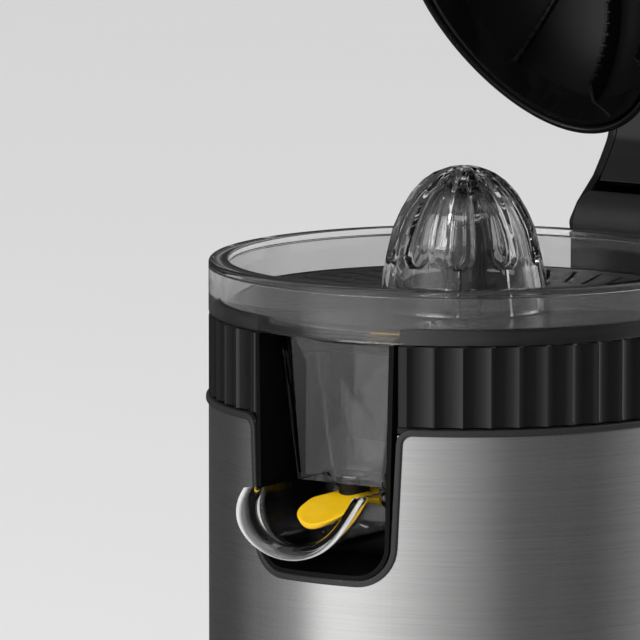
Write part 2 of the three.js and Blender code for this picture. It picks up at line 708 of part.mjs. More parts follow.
function dripLever() {
  const outline = new THREE.Shape();
  const shoulder = leverReach - 2 * leverPaddleHalf - 4;
  const tip = leverReach - leverPaddleHalf;
  outline.moveTo(leverNeckHalf, -leverPivotReach);
  outline.lineTo(-leverNeckHalf, -leverPivotReach);
  outline.lineTo(-leverNeckHalf, -shoulder);
  outline.quadraticCurveTo(-leverPaddleHalf, -shoulder - 6, -leverPaddleHalf, -tip);
  outline.absarc(0, -tip, leverPaddleHalf, Math.PI, 2 * Math.PI);
  outline.quadraticCurveTo(leverPaddleHalf, -shoulder - 6, leverNeckHalf, -shoulder);
  const tilt = Math.atan2(leverDrop, leverReach - leverPivotReach);
  const blade = alongZ(outline, -leverThickness / 2, leverThickness / 2, 8)
    .translate([0, leverPivotReach, 0])
    .rotate([THREE.MathUtils.radToDeg(tilt), 0, 0])
    .translate([0, -leverPivotReach, leverPivotHeight]);
  const hub = barX(
    leverHubRadius, -leverNeckHalf, leverNeckHalf, -leverPivotReach, leverPivotHeight, coarse);
  return blade.add(hub)
    .subtract(barX(leverPinRadius + runGap, -40, 40, -leverPivotReach, leverPivotHeight, coarse));
}
place('drip_lever', dripLever(), yellow);
const dripPin = barX(leverPinRadius, -earOuter, earOuter, -leverPivotReach, leverPivotHeight, coarse);
place('drip_pin', dripPin, brightMetal);
const plugLow = leverPivotHeight + leverThickness / 2 + seatGap;
const plug = disc(outletRadius + plugMargin, plugLow, chuteBottom - seatGap, coarse, 0, -outletReach)
  .subtract(barX(leverHubRadius + seatGap, -40, 40, -leverPivotReach, leverPivotHeight, coarse));
place('drip_seal', plug, rubber);

// ---- strainer and reamer cones -----------------------------------------------------------
function strainer() {
  const reach = bowlInner - slipGap;
  const hole = chimneyRadius + slipGap;
  const dish = turned([
    [0, strainerLow - strainerThickness], [strainerFlat, strainerLow - strainerThickness],
    [reach, strainerTop - strainerThickness], [reach, strainerTop],
    [strainerFlat, strainerLow], [0, strainerLow],
  ]).subtract(disc(hole, 0, rimZ));
  const slot = block(strainerFlat + 6, reach - 7, -slotWidth / 2, slotWidth / 2,
    strainerLow - 10, strainerTop + 10);
  const slots = around(slotCount, (turn) => slot.rotate([0, 0, THREE.MathUtils.radToDeg(turn)]));
  return cutAll(dish, slots);
}
place('strainer', strainer(), smoke);

// Half-outline of the reamer, as shares of its radius and height.
const coneOutline = [[1, 0], [0.96, 0.1], [0.9, 0.33], [0.82, 0.54], [0.64, 0.76], [0.375, 0.93], [0, 1]];
const cone = (radius, height) => coneOutline.map(([r, z]) => [r * radius, coneBase + z * height]);
const innerRadius = coneRadius - coneWall;
const innerHeight = coneHeight - coneWall - 0.4;
const liftGap = 0.7;

function largeCone() {
  const hollow = cone(innerRadius, innerHeight).filter((_, i) => i % 2 === 0).reverse();
  const segments = coneRibs * 4;
  const outline = [...cone(coneRadius, coneHeight), ...hollow];
  const geometry = new THREE.LatheGeometry(
    [...outline, outline[0]].map(([r, z]) => new THREE.Vector2(r, z)), segments,
  ).rotateX(Math.PI / 2);
  const at = geometry.attributes.position;
  const rows = outline.length + 1;
  for (let i = 0; i < at.count; i += 1) {
    const row = i % rows;
    const share = row < coneOutline.length ? coneOutline[row][1] : 0;
    if (share > 0.3 && share < 0.99) {
      const x = at.getX(i);
      const y = at.getY(i);
      const radius = Math.hypot(x, y);
      const rib = (1 - Math.cos(coneRibs * Math.atan2(y, x))) / 2;
      const scale = (radius - coneFlute * rib) / radius;
      at.setXY(i, x * scale, y * scale);
    }
  }
  return solid(geometry);
}
place('large_cone', largeCone(), smoke);

function smallCone() {
  const radius = innerRadius - liftGap;
  const height = innerHeight - liftGap;
  const wall = 2;
  const hubLow = bowlFloor + chimneyHeight + slipGap;
  const hubRadius = hexRadius + 3.4;
  const shell = turned([
    ...cone(radius, height).filter((_, i) => i % 2 === 0), [0, hubLow],
    [hubRadius, hubLow], [hubRadius, coneBase + 0.72 * height],
    ...cone(radius - wall, height - 2 * wall).slice(0, 4).reverse(),
  ], medium);
  return shell.subtract(hexCut(0.5, 0, spindleTop + 1.5));
}
place('small_cone', smallCone(), smoke);

// ---- press arm ---------------------------------------------------------------------------
const armTaper = (ahead) => {
  const share = THREE.MathUtils.clamp((ahead - 30) / (gripReach - 30), 0, 1);
  return armHalf + (armEndHalf - armHalf) * share;
};
const domeTop = headHeight - headDrop;
const spineLow = domeTop + 0.6;
const spineTop = spineLow + 18;
const headFront = headCentre + headHalfLength;
const backEdge = [[-11, 0], [-14, 22], [-11, 44], [0, 61], [16, 70], [40, spineTop]];
const frontEdge = [[0, -9], [6, -7], [9, 2], [10.5, 16], [13, 23.5], [16, 31], [27, 44], [44, spineLow]];
const bodyEnd = headFront - 10;
const bossRadius = 9;

function boss(radius, segments = medium) {
  return barX(radius, -armHalf, armHalf, 0, 0, segments);
}

function armBody() {
  const frontUp = frontEdge.slice().reverse();
  const outline = [...backEdge, [bodyEnd, spineTop - 4], [bodyEnd, spineLow], ...frontUp];
  const shell = acrossArm(outline, armTaper).add(boss(bossRadius));
  const inside = [[-11 + armSkin, 8], [-14 + armSkin, 22], [-11 + armSkin, 42], [armSkin, 58],
    [17, 70 - armSkin], [40, spineTop - armSkin], [bodyEnd - armSkin, spineTop - 4 - armSkin],
    [bodyEnd - armSkin, spineLow - 1], [60, spineLow - 1], [20, 30], [20, 8]];
  const pocket = acrossArm(inside, (ahead) => armTaper(ahead) - cheekWall);
  const heel = block(-cheekInner, cheekInner, -30, 30, -20, knuckleRadius - 3.9);
  const floor = acrossArm([[46, spineLow], [bodyEnd - 1, spineLow], [bodyEnd - 1, spineLow + armSkin],
    [46, spineLow + armSkin]], (ahead) => armTaper(ahead) - 1);
  const headScrewHoles = screwAhead.map((ahead) => (
    disc(screwRadius + seatGap, 0, spineTop - 6, coarse, 0, -ahead)));
  return cutAll(cutAll(shell, [pocket, heel]).add(floor), [
    barX(pinRadius + seatGap, -40, 40, 0, 0, coarse),
    barX(knuckleRadius + 1, -cheekInner, cheekInner, 0, 0),
    ...headScrewHoles,
  ]);
}

const screwAhead = [headCentre - 16, headCentre + 16];
place('arm_body', armBody(), glossBlack, arm);
const linerHalf = (ahead) => armTaper(ahead) - cheekWall - seatGap;
const linerLine = frontEdge.slice(3);
const linerBack = [[7.5, 16], [10, 24.5], [13.2, 33], [25, 46.5], [44, spineLow + 2.6]];
place('arm_liner', acrossArm([...linerLine, ...linerBack.reverse()], linerHalf)
  .subtract(barX(knuckleRadius + 1, -40, 40, 0, 0)), glossBlack, arm);

function armGrip() {
  const low = spineLow - 12;
  const outline = [
    [bodyEnd + seatGap, spineTop - 4], [gripReach - 8, spineTop - 9], [gripReach, spineTop - 15],
    [gripReach - 1, low], [headFront + 3, low + 2], [headFront - 1, spineLow - 2],
    [bodyEnd + seatGap, spineLow + 1],
  ];
  return acrossArm(outline, armTaper);
}
place('arm_grip', armGrip(), satinBlack, arm);

// A dome over the head's egg outline: `inset` shrinks it all round, its rim at `low`.
function dome(inset, top, low, segments = 28) {
  const rows = 4;
  const outline = Array.from({ length: rows + 1 }, (_, i) => {
    const turn = (Math.PI / 2) * (i / rows);
    return [Math.cos(turn) ** 0.8, low + (top - low) * Math.sin(turn) ** 0.9];
  });
  const loop = [[0, low], ...outline.slice(0, rows), [0, top], [0, low]];
  const points = loop.map(([r, z]) => new THREE.Vector2(r, z));
  const geometry = new THREE.LatheGeometry(points, segments).rotateX(Math.PI / 2);
  const at = geometry.attributes.position;
  for (let i = 0; i < at.count; i += 1) {
    const front = -at.getY(i);
    at.setX(i, at.getX(i) * (headHalfWidth - inset) * (1 + headEgg * front));
    at.setY(i, -headCentre - front * (headHalfLength - inset));
  }
  return solid(geometry);
}

const cupInset = headWall + 1.2;
const cupTop = domeTop - headWall - 1.2;
const headLow = -headDrop;
const cupLow = headLow + 1;
const headScrews = screwAhead.map((ahead) => (
  disc(screwRadius + seatGap, 0, spineTop, coarse, 0, -ahead)));
const headShell = cutAll(dome(0, domeTop, headLow), [
  dome(headWall, domeTop - headWall, headLow - tiny).add(dome(headWall, headLow + 2, headLow - 3)),
  ...headScrews,
]);
place('head_shell', headShell, glossBlack, arm);

function pressCup() {
  const inner = dome(cupInset + cupWall, cupTop - cupWall, cupLow - tiny).add(
    dome(cupInset + cupWall, cupLow + 1, cupLow - 2));
  const shell = dome(cupInset, cupTop, cupLow).subtract(inner);
  const deep = dome(cupInset + cupWall + cupRibDepth, cupTop - cupWall - cupRibDepth, cupLow - 2);
  const bar = block(-90, 90, -cupRibWidth / 2, cupRibWidth / 2, cupLow, 60);
  const bars = Array.from({ length: cupRibCount }, (_, i) => (
    bar.rotate([0, 0, (180 * i) / cupRibCount]).translate([0, -headCentre, 0])));
  const ribs = joinAll(bars).intersect(dome(cupInset + 1, cupTop - 1, cupLow)).subtract(deep);
  const bosses = screwAhead.map((ahead) => disc(5.5, cupTop - 7, cupTop - 1.5, coarse, 0, -ahead));
  const headCuts = screwAhead.map((ahead) => (
    disc(screwHeadRadius + seatGap, 0, cupTop - 7, coarse, 0, -ahead)));
  const inside = dome(cupInset + 1, cupTop - 1, cupLow);
  const seats = bosses.map((one) => one.intersect(inside));
  return cutAll(joinAll([shell, ribs, ...seats]), [...headScrews, ...headCuts]);
}
place('press_cup', pressCup(), glossBlack, arm);
screwAhead.forEach((ahead, i) => {
  const headBottom = cupTop - 7 - seatGap - screwHeadHeight;
  place(`head_screw_${i + 1}`, screw(headBottom, 20, 0, -ahead), brightMetal, arm);
});

// ---- origin: bottom centre of the box ----------------------------------------------------
whole.updateMatrixWorld(true);
const middle = new THREE.Box3().setFromObject(whole, true).getCenter(new THREE.Vector3());
parked.position.set(-middle.x, -middle.y, 0);

export default whole;
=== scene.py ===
"""Citrus press juicer: the fine shapes and finishes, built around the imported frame.

Shapes are drawn in millimetres about the drum's own axis, +Z up and the spout towards -Y. The
arm's shapes are drawn shut, lying along -Y from the hinge, and are swung up to where the frame
holds them. `piece` turns both into objects in metres, on their bodies.
"""
import json
from math import asin, ceil, cos, pi, radians, sin, sqrt, tan

import bmesh
import bpy
from mathutils import Matrix, Vector


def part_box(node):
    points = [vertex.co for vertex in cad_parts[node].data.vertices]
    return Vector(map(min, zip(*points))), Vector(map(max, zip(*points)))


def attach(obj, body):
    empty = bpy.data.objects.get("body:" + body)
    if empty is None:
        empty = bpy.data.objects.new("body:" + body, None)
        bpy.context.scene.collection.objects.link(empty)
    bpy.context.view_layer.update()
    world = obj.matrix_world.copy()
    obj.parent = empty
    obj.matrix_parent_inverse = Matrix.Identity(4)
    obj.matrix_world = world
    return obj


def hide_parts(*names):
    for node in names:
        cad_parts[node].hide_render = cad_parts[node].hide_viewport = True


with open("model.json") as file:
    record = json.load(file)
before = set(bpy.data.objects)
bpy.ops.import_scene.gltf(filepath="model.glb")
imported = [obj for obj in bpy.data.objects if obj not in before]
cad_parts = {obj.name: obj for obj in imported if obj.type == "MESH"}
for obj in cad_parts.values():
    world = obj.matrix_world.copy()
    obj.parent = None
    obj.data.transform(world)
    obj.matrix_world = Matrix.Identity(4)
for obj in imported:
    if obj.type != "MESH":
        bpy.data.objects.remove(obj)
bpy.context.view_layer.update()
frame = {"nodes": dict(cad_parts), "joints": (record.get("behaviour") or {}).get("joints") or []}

# ---- sizes from the frame ----------------------------------------------------------------
MM = 0.001
shell_low, shell_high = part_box("steel_shell")
AXIS = (shell_low + shell_high) / 2
AXIS.z = 0
DRUM = Matrix.Translation(AXIS) @ Matrix.Scale(MM, 4)


def extent(node):
    """Lowest and highest corner of a CAD node, in millimetres about the drum's axis."""
    return [(corner - AXIS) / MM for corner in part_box(node)]


arm_joint = next(joint for joint in frame["joints"] if joint["name"] == "arm_hinge")
OPEN_ANGLE = radians(-arm_joint["range_deg"][0])
HINGE = (Vector(arm_joint["pos_m"]) - AXIS) / MM
ARM = DRUM @ Matrix.Translation(HINGE) @ Matrix.Rotation(-OPEN_ANGLE, 4, "X")

steel_low, steel_high = extent("steel_shell")
trim_high = extent("trim_ring")[1]
band_low, band_high = extent("fluted_band")
bowl_high = extent("juice_bowl")[1]
deck_high = extent("motor_deck")[1]
liner_low, liner_high = extent("bay_liner")
tower_low, tower_high = extent("hinge_tower")
cone_high = extent("large_cone")[1]
spindle_high = extent("spindle")[1]
lemon_low, lemon_high = extent("small_cone")
seal_low, seal_high = extent("drip_seal")
strainer_low, strainer_high = extent("strainer")
tray_low, tray_high = extent("base_tray")
foot_high = extent("foot_1")[1]

BODY = steel_high.x                # outside of the steel, the flutes and the bowl
STEEL_BOTTOM, STEEL_TOP = steel_low.z, steel_high.z
BAND_BOTTOM, BAND_TOP = band_low.z, band_high.z
RIM = bowl_high.z
COLLAR_TOP = deck_high.z
BAY_FLOOR = liner_low.z
BAY_BACK = liner_high.y            # negative: towards the spout

# ---- sizes of the fine shapes ------------------------------------------------------------
SEAT_GAP = 0.3
BAY_TOP_HALF, BAY_BOTTOM_HALF, BAY_CORNER = 31, 28.4, 13
TRIM_WIDTH, TRIM_PROUD = 2.5, 1.0
STEEL_CORNER = 4.5                 # round corner where the ring turns down into the bay
FLUTES, FLUTE_DEPTH, FLUTE_FRAME = 51, 1.5, 2.4
BAND_WALL = 2.3
DECK_TOP, DECK_BOTTOM = 199, 196
COLLAR_WALL = 2.2
SKIRT_WALL, LIP_THICKNESS = 2.2, 2.6
BOWL_INNER, BOWL_WALL = 86.6, 2.4
BOWL_FLOOR, FLOOR_FLAT, FLOOR_SLOPE, FLOOR_RISE = 200, 56, 79, 6.5
CHIMNEY, CHIMNEY_BORE, CHIMNEY_TOP = 12, 9.2, 222
CHUTE_FRONT, CHUTE_BACK, CHUTE_BOTTOM, CHUTE_WALL = 80, 58, 156, 2
CHUTE_TOP_HALF, CHUTE_BOTTOM_HALF = 27, 19
OUTLET, OUTLET_REACH = 5, 70.5
LEVER_PIVOT = Vector((0, -64, 149.5))
SPOUT_TOP, SPOUT_HALF, SPOUT_DEPTH, SPOUT_WALL = 155, 25, 23.2, 2.2
SPOUT_LIP, LIP_RAKE, SPOUT_BACK = 113, 10, 57.7
EAR_INNER, EAR_OUTER = 8.9, 10.9
RIBS = 10
CONE_BASE, CONE_RADIUS = 213.4, 32
POST_REACH = 78
HEAD_CENTRE, HEAD_HALF_WIDTH, HEAD_HALF_LENGTH, HEAD_EGG = 110.9, 52.3, 63.5, 0.12
HEAD_RIM, HEAD_TOP, HEAD_WALL = -4.3, 53.7, 2.5
CUP_INSET, CUP_TOP, CUP_RIM, CUP_WALL = 3.7, 50, -3.3, 2
ARM_HALF, ARM_END_HALF, ARM_REACH, CHEEK = 22, 18, 205, 4.7
KNUCKLE, KNUCKLE_HALF = 12, 16.8
SPINE_LOW, SPINE_TOP, SPINE_END = 54.3, 72.3, 164.4
SCREW_BORE, GLAND_BORE = 2.3, 5.3
TOWER_SCREWS, TOWER_SCREW_LEVEL = (-14, 14), 187.8
CASE_POSTS = (34, 15), (-34, 15), (0, -35)
HEAD_SCREWS = (-16, 16)            # ahead of and behind the head's middle

# ---- camera ------------------------------------------------------------------------------
VIEW_TURN, VIEW_TILT, VIEW_DISTANCE, LENS = radians(35), radians(7.958), 3.5, 535.1
AIM_LEFT, AIM_DOWN = 0.05296, 0.02324


def camera():
    """Long-lens view of the right front, cropped to the bay, the bowl and the press head."""
    back = Vector((sin(VIEW_TURN) * cos(VIEW_TILT), -cos(VIEW_TURN) * cos(VIEW_TILT), sin(VIEW_TILT)))
    right = Vector((cos(VIEW_TURN), sin(VIEW_TURN), 0))
    up = back.cross(right)
    aim = AXIS + Vector((0, 0, RIM * MM)) - AIM_LEFT * right - AIM_DOWN * up
    data = bpy.data.cameras.new("view")
    data.lens, data.sensor_width = LENS, 36
    data.clip_start, data.clip_end = 0.1, 100
    seat = bpy.data.objects.new("view", data)
    seat.location = aim + VIEW_DISTANCE * back
    seat.rotation_euler = (-back).to_track_quat("-Z", "Y").to_euler()
    bpy.context.scene.collection.objects.link(seat)
    bpy.context.scene.camera = seat


camera()


# ---- finishes ----------------------------------------------------------------------------
class Amount:
    """A value that changes over a surface. Arithmetic on it adds Math nodes."""

    def __init__(self, finish, socket):
        self.finish, self.socket = finish, socket

    def maths(self, operation, *terms):
        return self.finish.node("Math", {"operation": operation}, terms)

    def __add__(self, other):
        return self.maths("ADD", self, other)

    def __sub__(self, other):
        return self.maths("SUBTRACT", self, other)

    def __rsub__(self, other):
        return self.maths("SUBTRACT", other, self)

    def __mul__(self, other):
        return self.maths("MULTIPLY", self, other)

    def __truediv__(self, other):
        return self.maths("DIVIDE", self, other)

    def __rtruediv__(self, other):
        return self.maths("DIVIDE", other, self)

    __radd__, __rmul__ = __add__, __mul__


class Finish:
    """A node tree and the ways to add to it: a material's, or the surroundings'."""

    def __init__(self, owner):
        owner.use_nodes = True
        self.owner, self.tree = owner, owner.node_tree

    def feed(self, socket, value):
        if isinstance(value, Amount):
            self.tree.links.new(value.socket, socket)
        else:
            socket.default_value = value

    def node(self, kind, settings=(), inputs=(), output=0):
        """A node of that type: its settings first, then its sockets by name or by number."""
        made = self.tree.nodes.new("ShaderNode" + kind)
        for name, value in dict(settings).items():
            if name == "stops":
                self.set_stops(made.color_ramp, value)
            else:
                setattr(made, name, value)
        for socket, value in inputs.items() if isinstance(inputs, dict) else enumerate(inputs):
            self.feed(made.inputs[socket], value)
        return Amount(self, made.outputs[output])

    def set_stops(self, ramp, stops):
        while len(ramp.elements) < len(stops):
            ramp.elements.new(0.5)
        for element, (place, grey) in zip(ramp.elements, stops):
            element.position, element.color = place, (grey, grey, grey, 1)

    def place(self, stretch=(1, 1, 1)):
        """The surface point in the frame's metres, stretched along its axes."""
        point = self.node("TexCoord", output="Object")
        return self.node("VectorMath", {"operation": "MULTIPLY"}, [point, stretch])

    def noise(self, size, detail=2.0, stretch=(1, 1, 1)):
        """Soft random shading, 0 to 1, with blobs of that many millimetres."""
        return self.node("TexNoise", {}, {"Vector": self.place(stretch), "Scale": 1 / (size * MM),
                                          "Detail": detail})

    def steps(self, value, low, high):
        """0 below low, 1 above high and smooth between."""
        return self.node("MapRange", {"interpolation_type": "SMOOTHSTEP"},
                         {"Value": value, "From Min": low, "From Max": high})

    def mix(self, share, first, second):
        return self.node("Mix", {"data_type": "RGBA"}, {0: share, 6: first, 7: second}, output=2)


class Material(Finish):
    """A Principled surface. Sockets that stay the same all over are given by name."""

    def __init__(self, name, **sockets):
        super().__init__(bpy.data.materials.new(name))
        self.surface = self.tree.nodes["Principled BSDF"]
        for socket, value in sockets.items():
            self.set(socket.replace("_", " "), value)

    def set(self, socket, value):
        self.feed(self.surface.inputs[socket], value)

    def bump(self, height, depth, strength=1.0):
        """Raises the surface by up to that many millimetres where height is 1."""
        self.set("Normal", self.node("Bump", {}, {"Strength": strength, "Distance": depth * MM,
                                                  "Height": height}))


def grey(value, warmth=0.0):
    return (value * (1 + warmth), value, value * (1 - warmth), 1)


def brushed_steel():
    """Drawn stainless: fine lines round the drum over longer, fainter bands."""
    made = Material("brushed_steel", Metallic=1.0, Anisotropic=0.55, Anisotropic_Rotation=0.25)
    fine = made.noise(0.24, 3, (0.012, 0.012, 1))
    long = made.noise(0.9, 2, (0.006, 0.006, 1))
    cloud = made.noise(45, 2)
    lines = 0.62 * fine + 0.38 * long
    made.set("Base Color", made.mix(made.steps(lines, 0.25, 0.75), grey(0.58, 0.004), grey(0.69, 0.004)))
    made.set("Roughness", 0.2 + 0.12 * lines + 0.04 * cloud)
    made.bump(lines, 0.006, 0.4)
    return made.owner


def gloss_black():
    """Polished moulding: faint flow ripple, and a trace of fine wear in its shine."""
    made = Material("gloss_black", Specular_IOR_Level=0.5)
    wear = made.noise(6, 4)
    made.set("Base Color", made.mix(wear, grey(0.0045), grey(0.007)))
    made.set("Roughness", 0.06 + 0.09 * made.steps(wear, 0.45, 0.8))
    made.bump(made.noise(14, 1), 0.05, 0.25)
    return made.owner


def satin_black():
    """Spark-eroded moulding: a fine even grain that breaks the shine."""
    made = Material("satin_black")
    grain = made.noise(0.45, 2)
    cloud = made.noise(22, 3)
    made.set("Base Color", made.mix(grain, grey(0.011), grey(0.02)))
    made.set("Roughness", 0.34 + 0.14 * cloud + 0.08 * grain)
    made.bump(grain, 0.03, 0.45)
    return made.owner


def trim_black():
    """The trim's finish: satin, a shade lighter, with a soft sheen."""
    made = Material("trim_black")
    grain = made.noise(0.5, 2)
    made.set("Base Color", made.mix(grain, grey(0.02), grey(0.03)))
    made.set("Roughness", 0.27 + 0.1 * grain)
    made.bump(grain, 0.02, 0.3)
    return made.owner


def smoke():
    """Grey transparent moulding, slightly streaked along its flow."""
    made = Material("smoke", Transmission_Weight=1.0, IOR=1.49)
    flow = made.noise(30, 2, (1, 1, 0.3))
    made.set("Base Color", made.mix(flow, grey(0.8), grey(0.86)))
    made.set("Roughness", 0.003 + 0.012 * made.steps(made.noise(5, 4), 0.5, 0.85))
    made.bump(flow, 0.03, 0.1)
    return made.owner


def dark_smoke():
    """The strainer's deeper smoke, its skin dulled by fine scratches."""
    made = Material("dark_smoke", Transmission_Weight=0.7, IOR=1.45, Specular_IOR_Level=0.12)
    dull = made.noise(2, 4)
    made.set("Base Color", made.mix(dull, grey(0.05), grey(0.09)))
    made.set("Roughness", 0.16 + 0.16 * dull)
    made.bump(made.noise(12, 2), 0.04, 0.2)
    return made.owner


def cup_black():
    """The cup's moulding: polished for its lowest band, satin above."""
    made = Material("cup_black")
    rise = ARM.inverted().to_3x3().row[2].normalized()
    point = made.node("TexCoord", output="Object")
    level = made.node("VectorMath", {"operation": "DOT_PRODUCT"}, [point, tuple(rise)], output="Value")
    hinge = (DRUM @ HINGE).dot(rise)
    satin = made.steps((level - hinge) / MM, 7.5, 11)
    grain = made.noise(0.6, 2)
    made.set("Base Color", made.mix(grain, grey(0.003), grey(0.006)))
    made.set("Roughness", 0.04 + (0.34 + 0.06 * grain) * satin)
    made.bump(made.noise(14, 1), 0.05, 0.2)
    return made.owner


def clear():
    """Clear moulding of the spout, with soft flow ripples; its flared lip carries a painted highlight, a band
    of diffuse white that stands in for the bright glint along the lip's edge.
    """
    made = Material("clear", Transmission_Weight=1.0, IOR=1.5)
    flow = made.noise(9, 2)
    made.set("Base Color", made.mix(flow, grey(0.9), grey(0.97)))
    made.set("Roughness", 0.005 + 0.02 * made.steps(made.noise(3, 3), 0.5, 0.85))
    made.bump(flow, 0.08, 0.25)
    point = made.place((1 / (SPOUT_HALF * MM), 1, 1 / (SPOUT_DEPTH * MM)))
    across = made.node("SeparateXYZ", {}, [point], output="X")
    fall = SPOUT_TOP / SPOUT_DEPTH - made.node("SeparateXYZ", {}, [point], output="Z")
    # painted highlight: near the lip's edge the clear surface is mixed into a diffuse white one, for the
    # glint the flared lip shows
    lip = made.steps(across * across + fall * fall, 0.9, 1.03)
    painted_lip_highlight = made.node("BsdfPrincipled", {}, {"Base Color": made.mix(flow, grey(0.62), grey(0.72)),
                                             "Roughness": 0.25})
    both = made.node("MixShader", {}, [lip, Amount(made, made.surface.outputs[0]), painted_lip_highlight])
    made.feed(made.tree.nodes["Material Output"].inputs["Surface"], both)
    return made.owner


def satin_yellow():
    """Yellow moulding, satin, a little deeper in its clouds."""
    made = Material("satin_yellow")
    cloud = made.noise(5, 3)
    made.set("Base Color", made.mix(cloud, (0.95, 0.53, 0.003, 1), (1.0, 0.64, 0.012, 1)))
    made.set("Roughness", 0.3 + 0.16 * made.noise(0.6, 2))
    made.bump(made.noise(0.5, 2), 0.02, 0.3)
    return made.owner


def bay_black():
    """The niche's moulding: matt, with a fine grain that swallows light."""
    made = Material("bay_black", Specular_IOR_Level=0.18)
    grain = made.noise(0.6, 2)
    made.set("Base Color", made.mix(grain, grey(0.0015), grey(0.003)))
    made.set("Roughness", 0.42 + 0.12 * made.noise(12, 3))
    made.bump(grain, 0.02, 0.3)
    return made.owner


def seal_rubber():
    """Black silicone with a faint skin."""
    made = Material("seal_rubber", Specular_IOR_Level=0.3)
    bloom = made.noise(1.2, 3)
    made.set("Base Color", made.mix(bloom, grey(0.004), grey(0.009)))
    made.set("Roughness", 0.45 + 0.15 * bloom)
    made.bump(bloom, 0.02, 0.4)
    return made.owner


def rubber():
    """Matt elastomer with a pitted skin and a dusty bloom."""
    made = Material("rubber")
    pits = made.noise(0.7, 4)
    made.set("Base Color", made.mix(made.noise(4, 3), grey(0.012), grey(0.03)))
    made.set("Roughness", 0.72 + 0.2 * pits)
    made.bump(pits, 0.06, 0.6)
    return made.owner


def nylon():
    """Natural nylon: milky, with a fine moulded mottle."""
    made = Material("nylon", Subsurface_Weight=0.08)
    mottle = made.noise(3, 4)
    made.set("Base Color", made.mix(mottle, (0.72, 0.67, 0.55, 1), (0.84, 0.8, 0.7, 1)))
    made.set("Roughness", 0.4 + 0.2 * mottle)
    made.bump(made.noise(0.6, 2), 0.03, 0.4)
    return made.owner


def bright_metal():
    """Zinc-plated steel: spangled tone and turned rings of roughness."""
    made = Material("bright_metal", Metallic=1.0)
    spangle = made.noise(1.1, 3)
    made.set("Base Color", made.mix(spangle, grey(0.52), grey(0.7)))
    made.set("Roughness", 0.2 + 0.2 * spangle)
    made.bump(made.noise(0.25, 2), 0.01, 0.4)
    return made.owner


def motor_steel():
    """Rolled and passivated steel with long rolling marks and a faint stain."""
    made = Material("motor_steel", Metallic=1.0)
    rolled = made.noise(0.9, 3, (1, 1, 0.05))
    stain = made.noise(16, 4)
    made.set("Base Color", made.mix(stain, (0.3, 0.29, 0.27, 1), (0.46, 0.46, 0.45, 1)))
    made.set("Roughness", 0.34 + 0.2 * rolled)
    made.bump(rolled, 0.02, 0.5)
    return made.owner


SLOT_FINISHES = {
    "satin_black": satin_black(), "gloss_black": gloss_black(), "brushed_steel": brushed_steel(),
    "rubber": rubber(), "smoke": smoke(), "clear": clear(), "yellow": satin_yellow(), "nylon": nylon(),
    "bright_metal": bright_metal(), "motor_steel": motor_steel(),
}
TRIM_FINISH = trim_black()
BAY_FINISH = bay_black()
SEAL_FINISH = seal_rubber()
STRAINER_FINISH = dark_smoke()
CUP_FINISH = cup_black()


# ---- shapes ------------------------------------------------------------------------------
class Form:
    """Points in millimetres and the faces that join them."""

    def __init__(self, points=(), faces=()):
        self.points, self.faces = [Vector(p) for p in points], list(faces)

    def __add__(self, other):
        shift = len(self.points)
        moved = [tuple(i + shift for i in face) for face in other.faces]
        return Form(self.points + other.points, self.faces + moved)

    def moved(self, matrix):
        return Form([matrix @ p for p in self.points], self.faces)


def skin(rings, closed=True, capped=True, looped=False):
    """Joins rings of equally many points; `looped` joins the last ring to the first."""
    count, rows = len(rings[0]), len(rings)
    form = Form([p for ring in rings for p in ring])
    for row in range(rows if looped else rows - 1):
        here, there = row * count, (row + 1) % rows * count
        for k in range(count if closed else count - 1):
            after = (k + 1) % count
            form.faces.append((here + k, here + after, there + after, there + k))
    if capped and not looped:
        form.faces.append(tuple(reversed(range(count))))
        form.faces.append(tuple(range((rows - 1) * count, rows * count)))
    return form


def rounded(points, radii, steps=5, closed=True):
    """The outline with its corners turned into arcs. One radius serves all, or each has its own."""
    count = len(points)
    radii = [radii] * count if isinstance(radii, (int, float)) else radii
    result = []
    for i, (point, radius) in enumerate(zip(points, radii)):
        corner = Vector(point).to_2d()
        if radius <= 0 or (not closed and i in (0, count - 1)):
            result.append(tuple(corner))
            continue
        before = Vector(points[i - 1]).to_2d() - corner
        after = Vector(points[(i + 1) % count]).to_2d() - corner
        half = before.angle(after) / 2
        reach = min(radius / tan(half), 0.49 * before.length, 0.49 * after.length)
        middle = corner + (before.normalized() + after.normalized()).normalized() * reach / cos(half)
        start, end = corner + before.normalized() * reach, corner + after.normalized() * reach
        first, last = start - middle, end - middle
        turn = first.angle_signed(last)
        for k in range(steps + 1):
            result.append(tuple(middle + Matrix.Rotation(-turn * k / steps, 2) @ first))
    return result


def finer(path, step):
    """The same open path with no stretch longer than a step."""
    result = []
    for start, end in zip(path, path[1:]):
        start, end = Vector(start), Vector(end)
        parts = max(1, ceil((end - start).length / step))
        result += [tuple(start.lerp(end, k / parts)) for k in range(parts)]
    return result + [tuple(path[-1])]


def lathe(profile, steps=160, start=0.0, end=2 * pi):
    """Turns a closed outline of (radius, height) about the axis; angles run from the spout to +X."""
    whole = end - start > 2 * pi - 1e-6
    rings = []
    for k in range(steps if whole else steps + 1):
        turn = start + (end - start) * k / steps
        rings.append([(r * sin(turn), -r * cos(turn), z) for r, z in profile])
    return skin(rings, looped=whole)


def bar(radius, start, end, steps=32, edge=0.0):
    """A round bar between two points, with its ends' edges rounded."""
    start, end = Vector(start), Vector(end)
    length = (end - start).length
    outline = rounded([(0, 0), (radius, 0), (radius, length), (0, length)], [0, edge, edge, 0], 3)
    turn = (end - start).to_track_quat("Z", "Y").to_matrix().to_4x4()
    return lathe(outline, steps).moved(Matrix.Translation(start) @ turn)


def slab(outline, low, high, along="Z"):
    """An outline drawn out between two levels along Z, Y or X."""
    order = {"Z": lambda a, b, c: (a, b, c), "Y": lambda a, b, c: (a, c, b), "X": lambda a, b, c: (c, a, b)}
    return skin([[order[along](a, b, level) for a, b in outline] for level in (low, high)])


def block(low, high):
    (x0, y0, z0), (x1, y1, z1) = low, high
    return slab([(x0, y0), (x1, y0), (x1, y1), (x0, y1)], z0, z1)


